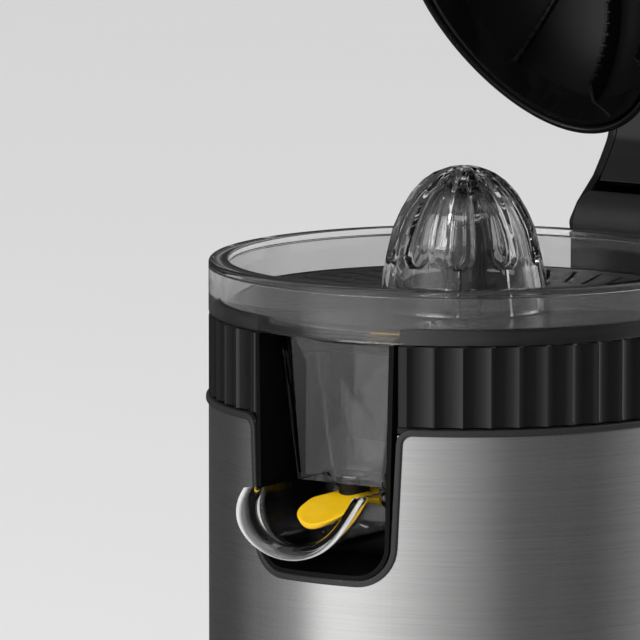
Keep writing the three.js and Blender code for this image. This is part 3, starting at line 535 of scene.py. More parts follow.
def scratch(form):
    mesh = bpy.data.meshes.new("scratch")
    mesh.from_pydata(form.points, [], form.faces)
    work = bmesh.new()
    work.from_mesh(mesh)
    bmesh.ops.remove_doubles(work, verts=work.verts, dist=1e-4)
    bmesh.ops.recalc_face_normals(work, faces=work.faces)
    work.to_mesh(mesh)
    work.free()
    made = bpy.data.objects.new("scratch", mesh)
    bpy.context.scene.collection.objects.link(made)
    return made


def evaluated(made):
    bpy.context.view_layer.update()
    return bpy.data.meshes.new_from_object(made.evaluated_get(bpy.context.evaluated_depsgraph_get()))


def combine(form, tools, operation):
    target = scratch(form)
    cutters = [scratch(tool) for tool in tools]
    for cutter in cutters:
        step = target.modifiers.new("step", "BOOLEAN")
        step.operation, step.solver, step.object = operation, "EXACT", cutter
    mesh = evaluated(target)
    result = Form([v.co.copy() for v in mesh.vertices], [tuple(p.vertices) for p in mesh.polygons])
    for made in [target, *cutters]:
        bpy.data.objects.remove(made)
    return result


def carve(form, *tools):
    return combine(form, tools, "DIFFERENCE")


def weld(form, *others):
    return combine(form, others, "UNION")


def keep(form, *tools):
    return combine(form, tools, "INTERSECT")


def piece(name, form, body, slot, replaces, place=DRUM, edge=0.0, sharp=32, finish=None):
    """A finished object from a form: welded, its edges softened, shaded and riding on its body."""
    made = scratch(form)
    made.name = name
    made.data.name = name
    made.data.transform(place)
    if edge:
        soften = made.modifiers.new("soften", "BEVEL")
        soften.width, soften.segments, soften.limit_method = edge * MM, 2, "ANGLE"
        soften.angle_limit = radians(35)
        made.data.shade_smooth()
        even = made.modifiers.new("even", "WEIGHTED_NORMAL")
        even.keep_sharp = True
        mesh = evaluated(made)
        made.modifiers.clear()
        made.data = mesh
    else:
        made.data.shade_smooth()
        made.data.set_sharp_from_angle(angle=radians(sharp))
    made.data.materials.clear()
    made.data.materials.append(finish or SLOT_FINISHES[slot])
    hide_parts(*replaces)
    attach(made, body)
    return made


# ---- base and feet -----------------------------------------------------------------------
POSTS = [(POST_REACH * cos(radians(a)), POST_REACH * sin(radians(a))) for a in (45, 135, 225, 315)]
GLAND = Vector((0, BODY, (tray_low.z + 2.2 + STEEL_BOTTOM) / 2 + 2.5))


def gland_hole():
    """The way through for the mains inlet's bush, at the back near the base."""
    return bar(GLAND_BORE, GLAND - Vector((0, 12, 0)), GLAND + Vector((0, 9, 0)))


def base_pan():
    """The tray under the drum: rounded foot edge, vent slots, screw bosses and foot pockets."""
    wall = 2.2
    top = STEEL_BOTTOM - SEAT_GAP
    outer = tray_high.x
    spigot = BODY - 1 - SEAT_GAP
    profile = rounded([
        (0, tray_low.z), (outer, tray_low.z), (outer, top), (spigot, top), (spigot, tray_high.z),
        (spigot - 2, tray_high.z), (spigot - 2, tray_low.z + wall), (0, tray_low.z + wall),
    ], [0, 2.2, 0.5, 0, 0.4, 0.4, 1, 0], 4)
    tray = lathe(profile)
    bosses = [bar(foot_high.z + 7, (x, y, tray_low.z), (x, y, STEEL_BOTTOM + 2)) for x, y in POSTS]
    cuts = []
    for x, y in POSTS:
        cuts.append(bar(9.8, (x, y, 0), (x, y, foot_high.z + SEAT_GAP)))
        cuts.append(bar(4, (x, y, 0), (x, y, foot_high.z + 4)))
        cuts.append(bar(SCREW_BORE, (x, y, 0), (x, y, STEEL_BOTTOM + 5), 16))
    half = 1.3
    for row, (reach, count) in enumerate([(32, 18), (46, 26)]):
        end = reach + 10
        vent = slab(rounded([(reach, -half), (end, -half), (end, half), (reach, half)], 1.2, 3), 0, 9)
        turns = [2 * pi * (k + row / 2) / count for k in range(count)]
        cuts += [vent.moved(Matrix.Rotation(turn, 4, "Z")) for turn in turns]
    form = carve(weld(tray, *bosses), *cuts, gland_hole())
    piece("base_pan", form, "base", "satin_black", ["base_tray"])


def foot_pads():
    """Four moulded feet with grip rings on their soles."""
    for index, (x, y) in enumerate(POSTS, 1):
        sole = []
        for k in range(4):
            ring = 8.0 - 1.9 * k
            sole += [(ring, 0), (ring - 0.5, 0.5), (ring - 1.0, 0.5), (ring - 1.4, 0)]
        outline = [(0, 0.5), (1.2, 0.5), *reversed(sole), (9.1, 0), (9.5, 0.5), (9.5, 3.8),
                   (9.0, foot_high.z), (0, foot_high.z)]
        pad = lathe(outline, 48).moved(Matrix.Translation((x, y, 0)))
        piece(f"foot_pad_{index}", pad, "base", "rubber", [f"foot_{index}"])


# ---- steel, trim and flutes --------------------------------------------------------------
def bay_half(z):
    """Half the bay's width at a height."""
    slope = (BAY_TOP_HALF - BAY_BOTTOM_HALF) / (STEEL_TOP - BAY_FLOOR)
    return BAY_BOTTOM_HALF + slope * (min(z, STEEL_TOP) - BAY_FLOOR)


def bay_edge(grow, top, flare=0.0, steps=8):
    """The bay's outline from its upper right down and round to its upper left, grown outwards.

    `flare` turns the upper ends outwards, to run along the top of the steel.
    """
    low = BAY_FLOOR - grow
    ends = [(bay_half(top) + grow, top)]
    radii = [0]
    if flare:
        ends = [(bay_half(top) + grow + flare + 6, top), (bay_half(top) + grow, top)]
        radii = [0, flare]
    right = [*ends, (bay_half(low) + grow, low)]
    left = [(-x, z) for x, z in reversed(right)]
    radii += [BAY_CORNER + grow]
    return rounded(right + left, radii + radii[::-1], steps, closed=False)


def steel_sleeve():
    """The brushed sleeve, its wall cut away round the bay."""
    wall = 0.9
    inner = BODY - wall
    profile = rounded([(inner, STEEL_BOTTOM), (BODY, STEEL_BOTTOM), (BODY, STEEL_TOP), (inner, STEEL_TOP)],
                      0.25, 2)
    sleeve = lathe(profile, 256)
    edge = bay_edge(0.5, STEEL_TOP + 3)
    cut = slab(edge, -BODY - 10, -40, "Y")
    form = carve(sleeve, cut, gland_hole())
    piece("steel_sleeve", form, "base", "brushed_steel", ["steel_shell"], sharp=30)


def trim_frame():
    """One border: a ring over the steel's top edge that dips down round the bay."""
    half = TRIM_WIDTH / 2
    level = trim_high.z - half
    front = finer(bay_edge(half, level, STEEL_CORNER, 10), 2)
    reach = asin(front[0][0] / BODY)
    path = [(asin(x / BODY), z) for x, z in front]
    back_steps = 150
    path += [(-reach - (2 * pi - 2 * reach) * k / back_steps, level) for k in range(1, back_steps)]
    section = rounded([(-half, -1.4), (half, -1.4), (half, TRIM_PROUD), (-half, TRIM_PROUD)],
                      [0.2, 0.2, 0.7, 0.7], 4)
    rings = []
    for k, (turn, z) in enumerate(path):
        before, after = path[k - 1], path[(k + 1) % len(path)]
        swing = after[0] - before[0]
        swing = swing - 2 * pi if swing > pi else swing + 2 * pi if swing < -pi else swing
        along = Vector((swing * BODY, after[1] - before[1])).normalized()
        ring = []
        for across, proud in section:
            s, height = -along.y * across, along.x * across
            angle = turn + s / BODY
            radius = BODY + proud
            ring.append((radius * sin(angle), -radius * cos(angle), z + height))
        rings.append(ring)
    piece("trim_frame", skin(rings, looped=True), "base", "satin_black", ["trim_ring"], finish=TRIM_FINISH)


def fluted_collar():
    """The black band: hollow flutes with crisp arrises between two plain posts at the bay."""
    edge_turn = asin((BAY_TOP_HALF + 0.2) / BODY)
    frame_turn = edge_turn + FLUTE_FRAME / BODY + 0.012
    pitch = (2 * pi - 2 * frame_turn) / FLUTES
    inner = BODY - BAND_WALL
    places = [(edge_turn, 0.8), (edge_turn + 0.004, 0.25), (edge_turn + 0.01, 0)]
    places += [(frame_turn - 0.002, 0)]
    steps = 10
    for flute in range(FLUTES):
        for k in range(steps):
            share = k / steps
            depth = FLUTE_DEPTH * (1 - (2 * share - 1) ** 2) ** 0.8
            places.append((frame_turn + pitch * (flute + share), depth))
    places += [(2 * pi - turn, depth) for turn, depth in [(frame_turn, 0), (frame_turn - 0.002, 0),
                                                          (edge_turn + 0.01, 0), (edge_turn + 0.004, 0.25),
                                                          (edge_turn, 0.8)]]
    rings = []
    low, high, soft = BAND_BOTTOM, BAND_TOP, 0.45
    for turn, depth in places:
        outer = BODY - min(depth, BAND_WALL - 0.6)
        section = [(inner, low), (outer - soft, low), (outer, low + soft), (outer, high - soft),
                   (outer - soft, high), (inner, high)]
        rings.append([(r * sin(turn), -r * cos(turn), z) for r, z in section])
    form = skin(rings)
    level = TOWER_SCREW_LEVEL
    cuts = [bar(SCREW_BORE, (x, BODY - 12, level), (x, BODY + 5, level), 16) for x in TOWER_SCREWS]
    piece("fluted_collar", carve(form, *cuts), "base", "gloss_black", ["fluted_band"], sharp=24)


# ---- motor deck and bay ------------------------------------------------------------------
def bay_prism(grow, back, front=-130, top=240):
    edge = bay_edge(grow, top)
    return slab(edge, front, back, "Y")


def motor_deck_top():
    """Deck, locating collar and screw posts, open at the bay."""
    outer = BODY - BAND_WALL - SEAT_GAP
    inner = outer - COLLAR_WALL
    low = STEEL_TOP + SEAT_GAP
    profile = rounded([
        (11.35, DECK_BOTTOM - 24), (14.35, DECK_BOTTOM - 24), (14.35, DECK_BOTTOM), (inner, DECK_BOTTOM),
        (inner, BAND_BOTTOM + 0.3), (outer, BAND_BOTTOM + 0.3), (outer, COLLAR_TOP), (inner, COLLAR_TOP),
        (inner, DECK_TOP), (11.35, DECK_TOP),
    ], [0, 0.6, 1.5, 1.5, 0, 0, 0.9, 0.9, 2, 0.5], 4)
    deck = lathe(profile)
    foot = lathe([(inner, low), (BODY - 2.4, low), (BODY - 2.4, BAND_BOTTOM + 1), (inner, BAND_BOTTOM + 1)])
    posts = [bar(5, (x, y, STEEL_BOTTOM + 2.3), (x, y, DECK_TOP - 1)) for x, y in POSTS]
    case_posts = [bar(6, (x, y, 150.3), (x, y, DECK_TOP - 1)) for x, y in CASE_POSTS]
    bores = [bar(SCREW_BORE, (x, y, STEEL_BOTTOM), (x, y, STEEL_BOTTOM + 26), 16) for x, y in POSTS]
    bores += [bar(SCREW_BORE, (x, y, 150), (x, y, 166), 16) for x, y in CASE_POSTS]
    level = TOWER_SCREW_LEVEL
    bores += [bar(SCREW_BORE, (x, BODY - 11, level), (x, BODY + 9, level), 16) for x in TOWER_SCREWS]
    form = carve(weld(deck, foot, *posts, *case_posts), bay_prism(SEAT_GAP, BAY_BACK + SEAT_GAP), *bores)
    piece("motor_deck_top", form, "base", "satin_black", ["motor_deck"], sharp=35)


def bay_recess():
    """The dark niche behind the spout, its back edges turned on a soft radius."""
    wall, soft = 1.6, 7
    shell = bay_prism(0, BAY_BACK)
    hollow = [[(x, -140, z) for x, z in bay_edge(-wall, 250)]]
    for k in range(7):
        turn = pi / 2 * k / 6
        inset = wall + soft * (1 - cos(turn))
        y = BAY_BACK - wall - soft + soft * sin(turn)
        hollow.append([(x, y, z) for x, z in bay_edge(-inset, 250)])
    reach, under = BODY + 0.5, BODY - 6
    drum = lathe([(0, BAY_FLOOR - 10), (reach, BAY_FLOOR - 10), (reach, BAND_TOP), (under, BAND_TOP),
                  (under - 8, DECK_TOP), (0, DECK_TOP)], 200)
    form = keep(carve(shell, skin(hollow)), drum)
    piece("bay_recess", form, "base", "gloss_black", ["bay_liner"], sharp=35, finish=BAY_FINISH)


# ---- hinge tower -------------------------------------------------------------------------
def hinge_tower():
    """The casting behind the drum that carries the arm: column, neck, knuckle and grip ridges."""
    front, rear = tower_low.y, tower_high.y
    top = RIM - KNUCKLE - 4.5
    side = rounded([(BODY - 20, tower_low.z), (front + 12, tower_low.z), (rear - 5, tower_low.z + 12),
                    (rear, tower_low.z + 42), (rear, top), (BODY - 20, top)], [0, 3, 14, 30, 4, 0], 6)
    column = slab(side, -ARM_HALF, ARM_HALF, "X")
    neck = block((-KNUCKLE_HALF, HINGE.y - KNUCKLE, top - 1), (KNUCKLE_HALF, HINGE.y + KNUCKLE, RIM))
    barrel = bar(KNUCKLE, (-KNUCKLE_HALF, HINGE.y, RIM), (KNUCKLE_HALF, HINGE.y, RIM), 64)
    drum = lathe([(0, 0), (BODY + 1.4, 0), (BODY + 1.4, 300), (0, 300)], 200)
    cuts = [drum, bar(3.35, (-40, HINGE.y, RIM), (40, HINGE.y, RIM)),
            block((-9, HINGE.y - 8, RIM - 8), (9, HINGE.y + 20, RIM + 8))]
    for x in TOWER_SCREWS:
        cuts.append(bar(SCREW_BORE, (x, BODY - 12, TOWER_SCREW_LEVEL), (x, BODY + 9, TOWER_SCREW_LEVEL), 16))
        cuts.append(bar(4, (x, BODY + 8, TOWER_SCREW_LEVEL), (x, rear + 5, TOWER_SCREW_LEVEL), 32))
    for level in range(5):
        z = top - 9 - 3.2 * level
        for x in (-ARM_HALF, ARM_HALF):
            cuts.append(block((x - 0.7, front + 5, z), (x + 0.7, rear - 5, z + 1.3)))
    form = carve(weld(column, neck, barrel), *cuts)
    piece("hinge_casting", form, "base", "satin_black", ["hinge_tower"], edge=0.7)


# ---- juice bowl --------------------------------------------------------------------------
def chute(inset, low, high):
    """The outlet's body: a tapered box with a flat front and crisp upright edges."""
    rings = []
    for z in (low, high):
        share = (z - CHUTE_BOTTOM) / (BAND_TOP - CHUTE_BOTTOM)
        half = CHUTE_BOTTOM_HALF + (CHUTE_TOP_HALF - CHUTE_BOTTOM_HALF) * share - inset
        front, back = -CHUTE_FRONT + inset, -CHUTE_BACK - inset
        ring = rounded([(half, back), (half, front), (-half, front), (-half, back)], 1.0, 4)
        rings.append([(x, y, z) for x, y in ring])
    return skin(rings)


def bowl_moulding():
    """The double-walled bowl: sloping floor, chimney, broad lip, hanging skirt and outlet chute."""
    outer = BOWL_INNER + BOWL_WALL
    floor_top = BOWL_FLOOR + BOWL_WALL
    skirt_low = BAND_TOP + SEAT_GAP
    under_lip = RIM - LIP_THICKNESS
    floor = [(CHIMNEY, floor_top), (FLOOR_FLAT, floor_top), (FLOOR_SLOPE, floor_top + FLOOR_RISE),
             (BOWL_INNER, floor_top + FLOOR_RISE + 5)]
    profile = rounded([
        (CHIMNEY_BORE, BOWL_FLOOR), (FLOOR_FLAT, BOWL_FLOOR), (FLOOR_SLOPE, BOWL_FLOOR + FLOOR_RISE),
        (outer, BOWL_FLOOR + FLOOR_RISE + 5), (outer, under_lip), (BODY - SKIRT_WALL, under_lip),
        (BODY - SKIRT_WALL, skirt_low), (BODY, skirt_low), (BODY, RIM), (BOWL_INNER, RIM),
        *floor[::-1], (CHIMNEY, CHIMNEY_TOP), (CHIMNEY_BORE, CHIMNEY_TOP),
    ], [0.5, 12, 8, 5, 0.8, 0.8, 0.7, 0.7, 1.6, 1.0, 3, 6, 12, 3, 1.2, 1.2], 8)
    bowl = lathe(profile, 200)
    well = lathe([(0, floor_top), *floor[1:], (BOWL_INNER, RIM), (0, RIM)], 200)
    outside = carve(chute(0, CHUTE_BOTTOM, BAND_TOP - 0.3), well)
    hollow = chute(CHUTE_WALL, CHUTE_BOTTOM + CHUTE_WALL, BOWL_FLOOR + 12)
    outlet = bar(OUTLET, (0, -OUTLET_REACH, 150), (0, -OUTLET_REACH, CHUTE_BOTTOM + 3))
    form = carve(weld(bowl, outside), hollow, outlet)
    piece("bowl_moulding", form, "bowl", "smoke", ["juice_bowl"], sharp=40)


# ---- spout -------------------------------------------------------------------------------
def trough_ring(y, half, depth, wall, top, steps=26):
    """One slice across the spout: outside from right to left under it, inside back again."""
    turns = [pi * k / steps for k in range(steps + 1)]
    outside = [(half * cos(a), top - depth * sin(a)) for a in turns]
    inner_half, inner_depth = half - wall, depth - wall
    inside = [(inner_half * cos(a), top - inner_depth * sin(a)) for a in turns]
    ring = outside + inside[::-1]
    return [(x, y(z) if callable(y) else y, z) for x, z in ring]


def spout_moulding():
    """The clear trough, its lip flared and swept back, with the pivot ears and the hanging plate."""
    bottom = SPOUT_TOP - SPOUT_DEPTH

    def slant(reach):
        """Where a slice stands at each height: upright low down, swept back near the top."""
        sweep = LIP_RAKE * max(0.0, (reach - SPOUT_BACK) / (SPOUT_LIP - SPOUT_BACK)) ** 2
        return lambda z: -reach + sweep * max(0.0, (z - bottom) / SPOUT_DEPTH) ** 3

    slices = [(SPOUT_BACK, 2.2, SPOUT_WALL)]
    slices += [(SPOUT_BACK + (SPOUT_LIP - 7 - SPOUT_BACK) * k / 8, 1.6, SPOUT_WALL) for k in range(1, 9)]
    slices += [(SPOUT_LIP - 5, 1.2, 3.6), (SPOUT_LIP - 3.2, 0.1, 4.4), (SPOUT_LIP - 1.6, -0.9, 3.6),
               (SPOUT_LIP - 0.6, -1.3, 2.2), (SPOUT_LIP, -1.2, 1.1)]
    rings = [trough_ring(slant(reach), SPOUT_HALF - inset, SPOUT_DEPTH - max(inset, 0.3), wall, SPOUT_TOP, 40)
             for reach, inset, wall in slices]
    trough = skin(rings)
    turns = [pi * k / 26 for k in range(27)]
    half, depth = SPOUT_HALF - 2.4, SPOUT_DEPTH - 2.4
    outline = [(half * cos(turn), SPOUT_TOP - depth * sin(turn)) for turn in turns]
    back = slab(outline, -SPOUT_BACK - SPOUT_WALL, -SPOUT_BACK, "Y")
    plate = rounded([(-14, 140), (14, 140), (14, 169), (-14, 169)], 2.5, 4)
    parts = [back, slab(plate, -SPOUT_BACK - 0.1, -SPOUT_BACK + 2, "Y")]
    for side in (-1, 1):
        x0, x1 = sorted((side * EAR_INNER, side * EAR_OUTER))
        ear = rounded([(-SPOUT_BACK - 0.5, 145.5), (-68, 145.5), (-68, 155.4), (-SPOUT_BACK - 0.5, 155.4)],
                      [0, 3.9, 3.9, 0], 5)
        parts.append(slab(ear, x0, x1, "X"))
    reach = EAR_OUTER + 1
    bore = bar(1.8, LEVER_PIVOT - Vector((reach, 0, 0)), LEVER_PIVOT + Vector((reach, 0, 0)), 20)
    piece("spout_moulding", carve(weld(trough, *parts), bore), "bowl", "clear", ["spout"], sharp=50)


def drip_tongue():
    """The yellow lever: a hub, a short neck and a dished paddle that droops to its rounded tip."""
    reach, half_neck, half_waist, half_paddle = 99, 8.2, 6.6, 10.5
    length = reach + LEVER_PIVOT.y
    rows, across = 36, 16

    def half_width(ahead):
        tip = length - half_paddle
        if ahead > tip:
            return half_paddle * sqrt(max(0.0, 1 - ((ahead - tip) / half_paddle) ** 2))
        start, half, end, final = 9, half_waist, 20, half_paddle
        if ahead < start:
            start, half, end, final = 3, half_neck, 9, half_waist
        share = max(0.0, min(1.0, (ahead - start) / (end - start)))
        return half + (final - half) * share ** 2 * (3 - 2 * share)

    rings = []
    for row in range(rows + 1):
        ahead = length * (1 - (1 - row / rows) ** 1.6) if row < rows else length - 0.02
        half = max(0.25, half_width(ahead))
        thick = 2.2 * min(1.0, 0.35 + half / 6)
        dish = 2.4 * max(0.0, min(1.0, (ahead - 7) / 9)) * min(1.0, half / half_paddle)
        droop = 8.5 * max(0.0, (ahead - 6) / 29) ** 1.5
        centre = 1.8 * min(1.0, ahead / 6) - droop
        upper, lower = [], []
        for k in range(across + 1):
            u = -1 + 2 * k / across
            lift = centre + dish * (u * u - 0.5)
            edge = thick / 2 * sqrt(max(0.0, 1 - u ** 6))
            upper.append((half * u, lift + edge))
            lower.append((half * u, lift - edge))
        ring = upper + lower[-2:0:-1]
        rings.append([(x, LEVER_PIVOT.y - ahead, LEVER_PIVOT.z + z) for x, z in ring])
    reach = Vector((7.5, 0, 0))
    hub = bar(3.2, LEVER_PIVOT - reach, LEVER_PIVOT + reach, 32, 0.5)
    bore = bar(1.85, LEVER_PIVOT - 3 * reach, LEVER_PIVOT + 3 * reach, 20)
    piece("drip_tongue", carve(weld(skin(rings), hub), bore), "drip_stop", "yellow", ["drip_lever"], sharp=45)


def drip_plug():
    """The soft plug the lever holds up against the outlet: a foot, a waist and a sealing lip."""
    middle = (seal_low + seal_high) / 2
    low, high = seal_low.z, seal_high.z
    outline = rounded([(0, low), (6.2, low), (5.4, low + 1.6), (6.3, high - 0.7), (6.3, high), (0, high)],
                      [0, 0.5, 0.5, 0.3, 0.3, 0], 3)
    form = lathe(outline, 48).moved(Matrix.Translation((middle.x, middle.y, 0)))
    groove = bar(3.5, LEVER_PIVOT - Vector((20, 0, 0)), LEVER_PIVOT + Vector((20, 0, 0)), 32)
    piece("drip_plug", carve(form, groove), "drip_stop", "rubber", ["drip_seal"], finish=SEAL_FINISH)


# ---- strainer and reamers ----------------------------------------------------------------
def strainer_disc():
    """The dished strainer with curved slots between its hub and its rim."""
    reach = strainer_high.x
    hole = CHIMNEY + 0.6
    low, top, flat, wall = strainer_low.z + 2, strainer_high.z, 35, 1.9
    profile = rounded([(hole, low - wall), (flat, low - wall), (reach, top - wall), (reach, top),
                       (reach - 2.4, top), (flat, low), (hole, low)], [0.4, 6, 0.5, 0.8, 0.8, 6, 0.6], 4)
    dish = lathe(profile, 180)
    slots = []
    for row, (start, end, count, width) in enumerate([(39, 57, 30, 1.7), (60.5, 80, 44, 1.7)]):
        for k in range(count):
            base = 2 * pi * (k + row / 2) / count
            line = []
            for j in range(7):
                r = start + (end - start) * j / 6
                line.append((r, base + 0.006 * (r - start)))
            left = [(r * cos(a) - width / 2 * sin(a), r * sin(a) + width / 2 * cos(a)) for r, a in line]
            right = [(r * cos(a) + width / 2 * sin(a), r * sin(a) - width / 2 * cos(a)) for r, a in line]
            radii = [0.7] + [0] * 5 + [0.7] * 2 + [0] * 5 + [0.7]
            slots.append(slab(rounded(left + right[::-1], radii, 3), 200, 225))
    every = slots[0]
    for slot in slots[1:]:
        every = every + slot
    piece("strainer_disc", carve(dish, every), "pulp_strainer", "smoke", ["strainer"], sharp=35,
          finish=STRAINER_FINISH)


CONE_LINE = [(1, 0), (0.985, 0.05), (0.955, 0.14), (0.9, 0.33), (0.82, 0.54), (0.73, 0.67), (0.62, 0.79),
             (0.48, 0.89), (0.34, 0.95), (0.17, 0.988), (0, 1)]


def cone_radius(share):
    """The reamer's half-outline: its radius as a share, at a share of its height."""
    for (r0, z0), (r1, z1) in zip(CONE_LINE, CONE_LINE[1:]):
        if share <= z1:
            return r0 + (r1 - r0) * (share - z0) / (z1 - z0)
    return 0.0


def ribbed_cone(radius, height, wall, ribs, depth, first):
    """A reamer: broad ribs between steep flutes whose round feet end above its base."""
    steps = 32
    turns = ribs * steps
    pitch = 2 * pi * radius / ribs
    flute, foot = 0.32 * pitch, 14.5
    heights = [height * k / 24 for k in range(6)] + [10 + 0.5 * k for k in range(20)]
    heights = sorted({round(z, 3) for z in heights if z < 20} | {20 + (height - 20) * sin(pi / 2 * k / 26)
                                                                for k in range(27)})
    rings = []
    for z in heights:
        share = min(1.0, z / height)
        r = radius * cone_radius(share)
        width = flute * (r / radius) ** 0.85
        below = max(0.0, foot + flute - z)
        width = sqrt(max(0.0, width ** 2 - below ** 2)) if below < width else 0.0
        fade = min(1.0, max(0.0, (1.0 - share) / 0.12))
        ring = []
        for k in range(turns):
            turn = first + 2 * pi * k / turns
            phase = (k / steps + 0.5) % 1 - 0.5
            away = abs(phase) * pitch * r / radius
            rise = max(0.0, min(1.0, (width - away) / 1.5)) if width else 0.0
            wall_share = 0.8 * rise * rise * (3 - 2 * rise)
            floor_share = 0.2 * max(0.0, 1 - (away / (width + 0.01)) ** 2)
            cut = max(0.0, r - depth * fade * (wall_share + floor_share))
            ring.append((cut * cos(turn), cut * sin(turn), CONE_BASE + z))
        rings.append(ring)
    inner = []
    for row in range(16, -1, -1):
        share = sin(pi / 2 * row / 16)
        r = (radius - wall) * cone_radius(share) if row < 16 else 0.0
        inner.append([(r * cos(2 * pi * k / turns), r * sin(2 * pi * k / turns),
                       CONE_BASE + share * (height - wall - 0.4)) for k in range(turns)])
    return skin(rings + inner, looped=True)


def reamers():
    """The large ribbed cone, and the small one under it that fits the spindle."""
    large = ribbed_cone(CONE_RADIUS, cone_high.z - CONE_BASE, 4.3, RIBS, 2.9, radians(13))
    piece("orange_cone", large, "orange_reamer", "smoke", ["large_cone"], sharp=40)
    small_height = lemon_high.z - CONE_BASE
    small = ribbed_cone(lemon_high.x, small_height, 2, 8, 1.0, radians(22))
    hub = bar(8.4, (0, 0, lemon_low.z), (0, 0, CONE_BASE + 0.74 * small_height), 48, 0.4)
    hexagon = [(5.5 * cos(pi / 3 * k), 5.5 * sin(pi / 3 * k)) for k in range(6)]
    bore = slab(hexagon, lemon_low.z - 5, spindle_high.z + 1.5)
    piece("lemon_cone", carve(weld(small, hub), bore), "lemon_reamer", "smoke", ["small_cone"], sharp=40)


# ---- press head --------------------------------------------------------------------------
def dome_point(turn, climb, inset, rim, top):
    """A point of the head's egg-shaped dome; `climb` runs from 0 at the rim to pi/2 at the crown."""
    across = cos(climb) ** 0.8 if climb < pi / 2 - 1e-6 else 0.0
    front = cos(turn) * across
    side = sin(turn) * across
    x = side * (HEAD_HALF_WIDTH - inset) * (1 + HEAD_EGG * front)
    y = -HEAD_CENTRE - front * (HEAD_HALF_LENGTH - inset)
    return (x, y, rim + (top - rim) * sin(climb) ** 0.9)


def dome_rings(inset, rim, top, rows=26, turns=144):
    return [[dome_point(2 * pi * k / turns, pi / 2 * row / rows, inset, rim, top) for k in range(turns)]
            for row in range(rows + 1)]


def head_dome():
    """The polished shell of the press head, with a rounded rim."""
    outside = dome_rings(0, HEAD_RIM + 0.8, HEAD_TOP)
    inside = dome_rings(HEAD_WALL, HEAD_RIM + 0.6, HEAD_TOP - HEAD_WALL)
    rim = [dome_rings(inset, HEAD_RIM + up, HEAD_TOP, 1)[0] for inset, up in
           ((2.2, 0.1), (1.7, 0.0), (0.8, 0.0), (0.25, 0.25))]
    form = skin(inside[::-1] + rim + outside, looped=False, capped=False)
    bores = [bar(SCREW_BORE, (0, -HEAD_CENTRE + s, 30), (0, -HEAD_CENTRE + s, 70), 24) for s in HEAD_SCREWS]
    piece("head_dome", carve(form, *bores), "arm", "gloss_black", ["head_shell"], ARM, sharp=50)


def fin(turn, low, depth):
    """One tall thin ridge up the cup's wall: a pointed foot and a notched crest."""
    rings = []
    first = asin(min(1.0, low / (CUP_TOP - CUP_RIM)))
    steps = 150
    travelled, last = 0.0, None
    for k in range(steps + 1):
        climb = first + (radians(78) - first) * k / steps
        root = Vector(dome_point(turn, climb, CUP_INSET + CUP_WALL - 0.6, CUP_RIM, CUP_TOP - CUP_WALL + 0.6))
        travelled += (root - last).length if last else 0.0
        last = root
        notch = 1.0 if travelled < 7 or travelled % 4.8 < 3.4 else 0.0
        tall = min(1.0, travelled / 3.5) * (depth - 1.5 * (1 - notch)) + 0.8
        inset = CUP_WALL + tall
        crest = Vector(dome_point(turn, climb, CUP_INSET + inset, CUP_RIM, CUP_TOP - inset))
        inward = (crest - root).normalized()
        aside = inward.cross(Vector((0, 0, 1))).normalized()
        root_half, crest_half = aside * 1.5, aside * 0.9
        rings.append([root + root_half, crest + crest_half - inward * 0.4, crest + crest_half * 0.5,
                      crest - crest_half * 0.5, crest - crest_half - inward * 0.4, root - root_half])
    return skin(rings)


def cup_lining():
    """The cup that presses the fruit: a smooth wall with eight notched ridges, and two screw seats."""
    inside = dome_rings(CUP_INSET + CUP_WALL, CUP_RIM + 0.1, CUP_TOP - CUP_WALL)
    outside = dome_rings(CUP_INSET, CUP_RIM + 0.1, CUP_TOP)
    lip = [dome_rings(CUP_INSET + inset, CUP_RIM, CUP_TOP, 1)[0] for inset in (1.6, 0.4)]
    shell = skin(inside[::-1] + lip + outside, capped=False)
    bores, form = [], Form()
    for s in HEAD_SCREWS:
        bores.append(bar(SCREW_BORE, (0, -HEAD_CENTRE + s, 20), (0, -HEAD_CENTRE + s, 70), 24))
        seat = rounded([(2.3, CUP_TOP - 7), (5.5, CUP_TOP - 7), (5.5, CUP_TOP - 1.5), (2.3, CUP_TOP - 1.5)],
                       [0.3, 0.6, 0, 0], 3)
        form = form + lathe(seat, 48).moved(Matrix.Translation((0, -HEAD_CENTRE + s, 0)))
    form = form + carve(shell, *bores)
    for k in range(8):
        form = form + fin(pi / 4 * k, 9, 7.0)
    piece("cup_lining", form, "arm", "gloss_black", ["press_cup"], ARM, sharp=35, finish=CUP_FINISH)


# ---- arm ---------------------------------------------------------------------------------
def arm_half(ahead):
    share = max(0.0, min(1.0, (ahead - 30) / (ARM_REACH - 30)))
    return ARM_HALF + (ARM_END_HALF - ARM_HALF) * share


def across_arm(outline, soft=3.0, steps=5):
    """A side outline drawn across the arm, as wide as the arm tapers, with rounded long edges."""
    runs = [(Vector(outline[(i + 1) % len(outline)]) - Vector(outline[i - 1])).normalized()
            for i in range(len(outline))]
    rings = []
    for k in range(-steps, steps + 1):
        turn = pi / 2 * k / steps
        inset = soft * (1 - cos(turn))
        side = (k > 0) - (k < 0)
        ring = []
        for (ahead, above), run in zip(outline, runs):
            x = (arm_half(ahead) - soft) * side + soft * sin(turn)
            ring.append((x, -ahead + run.y * inset, above + run.x * inset))
        rings.append(ring)
    return skin(rings)


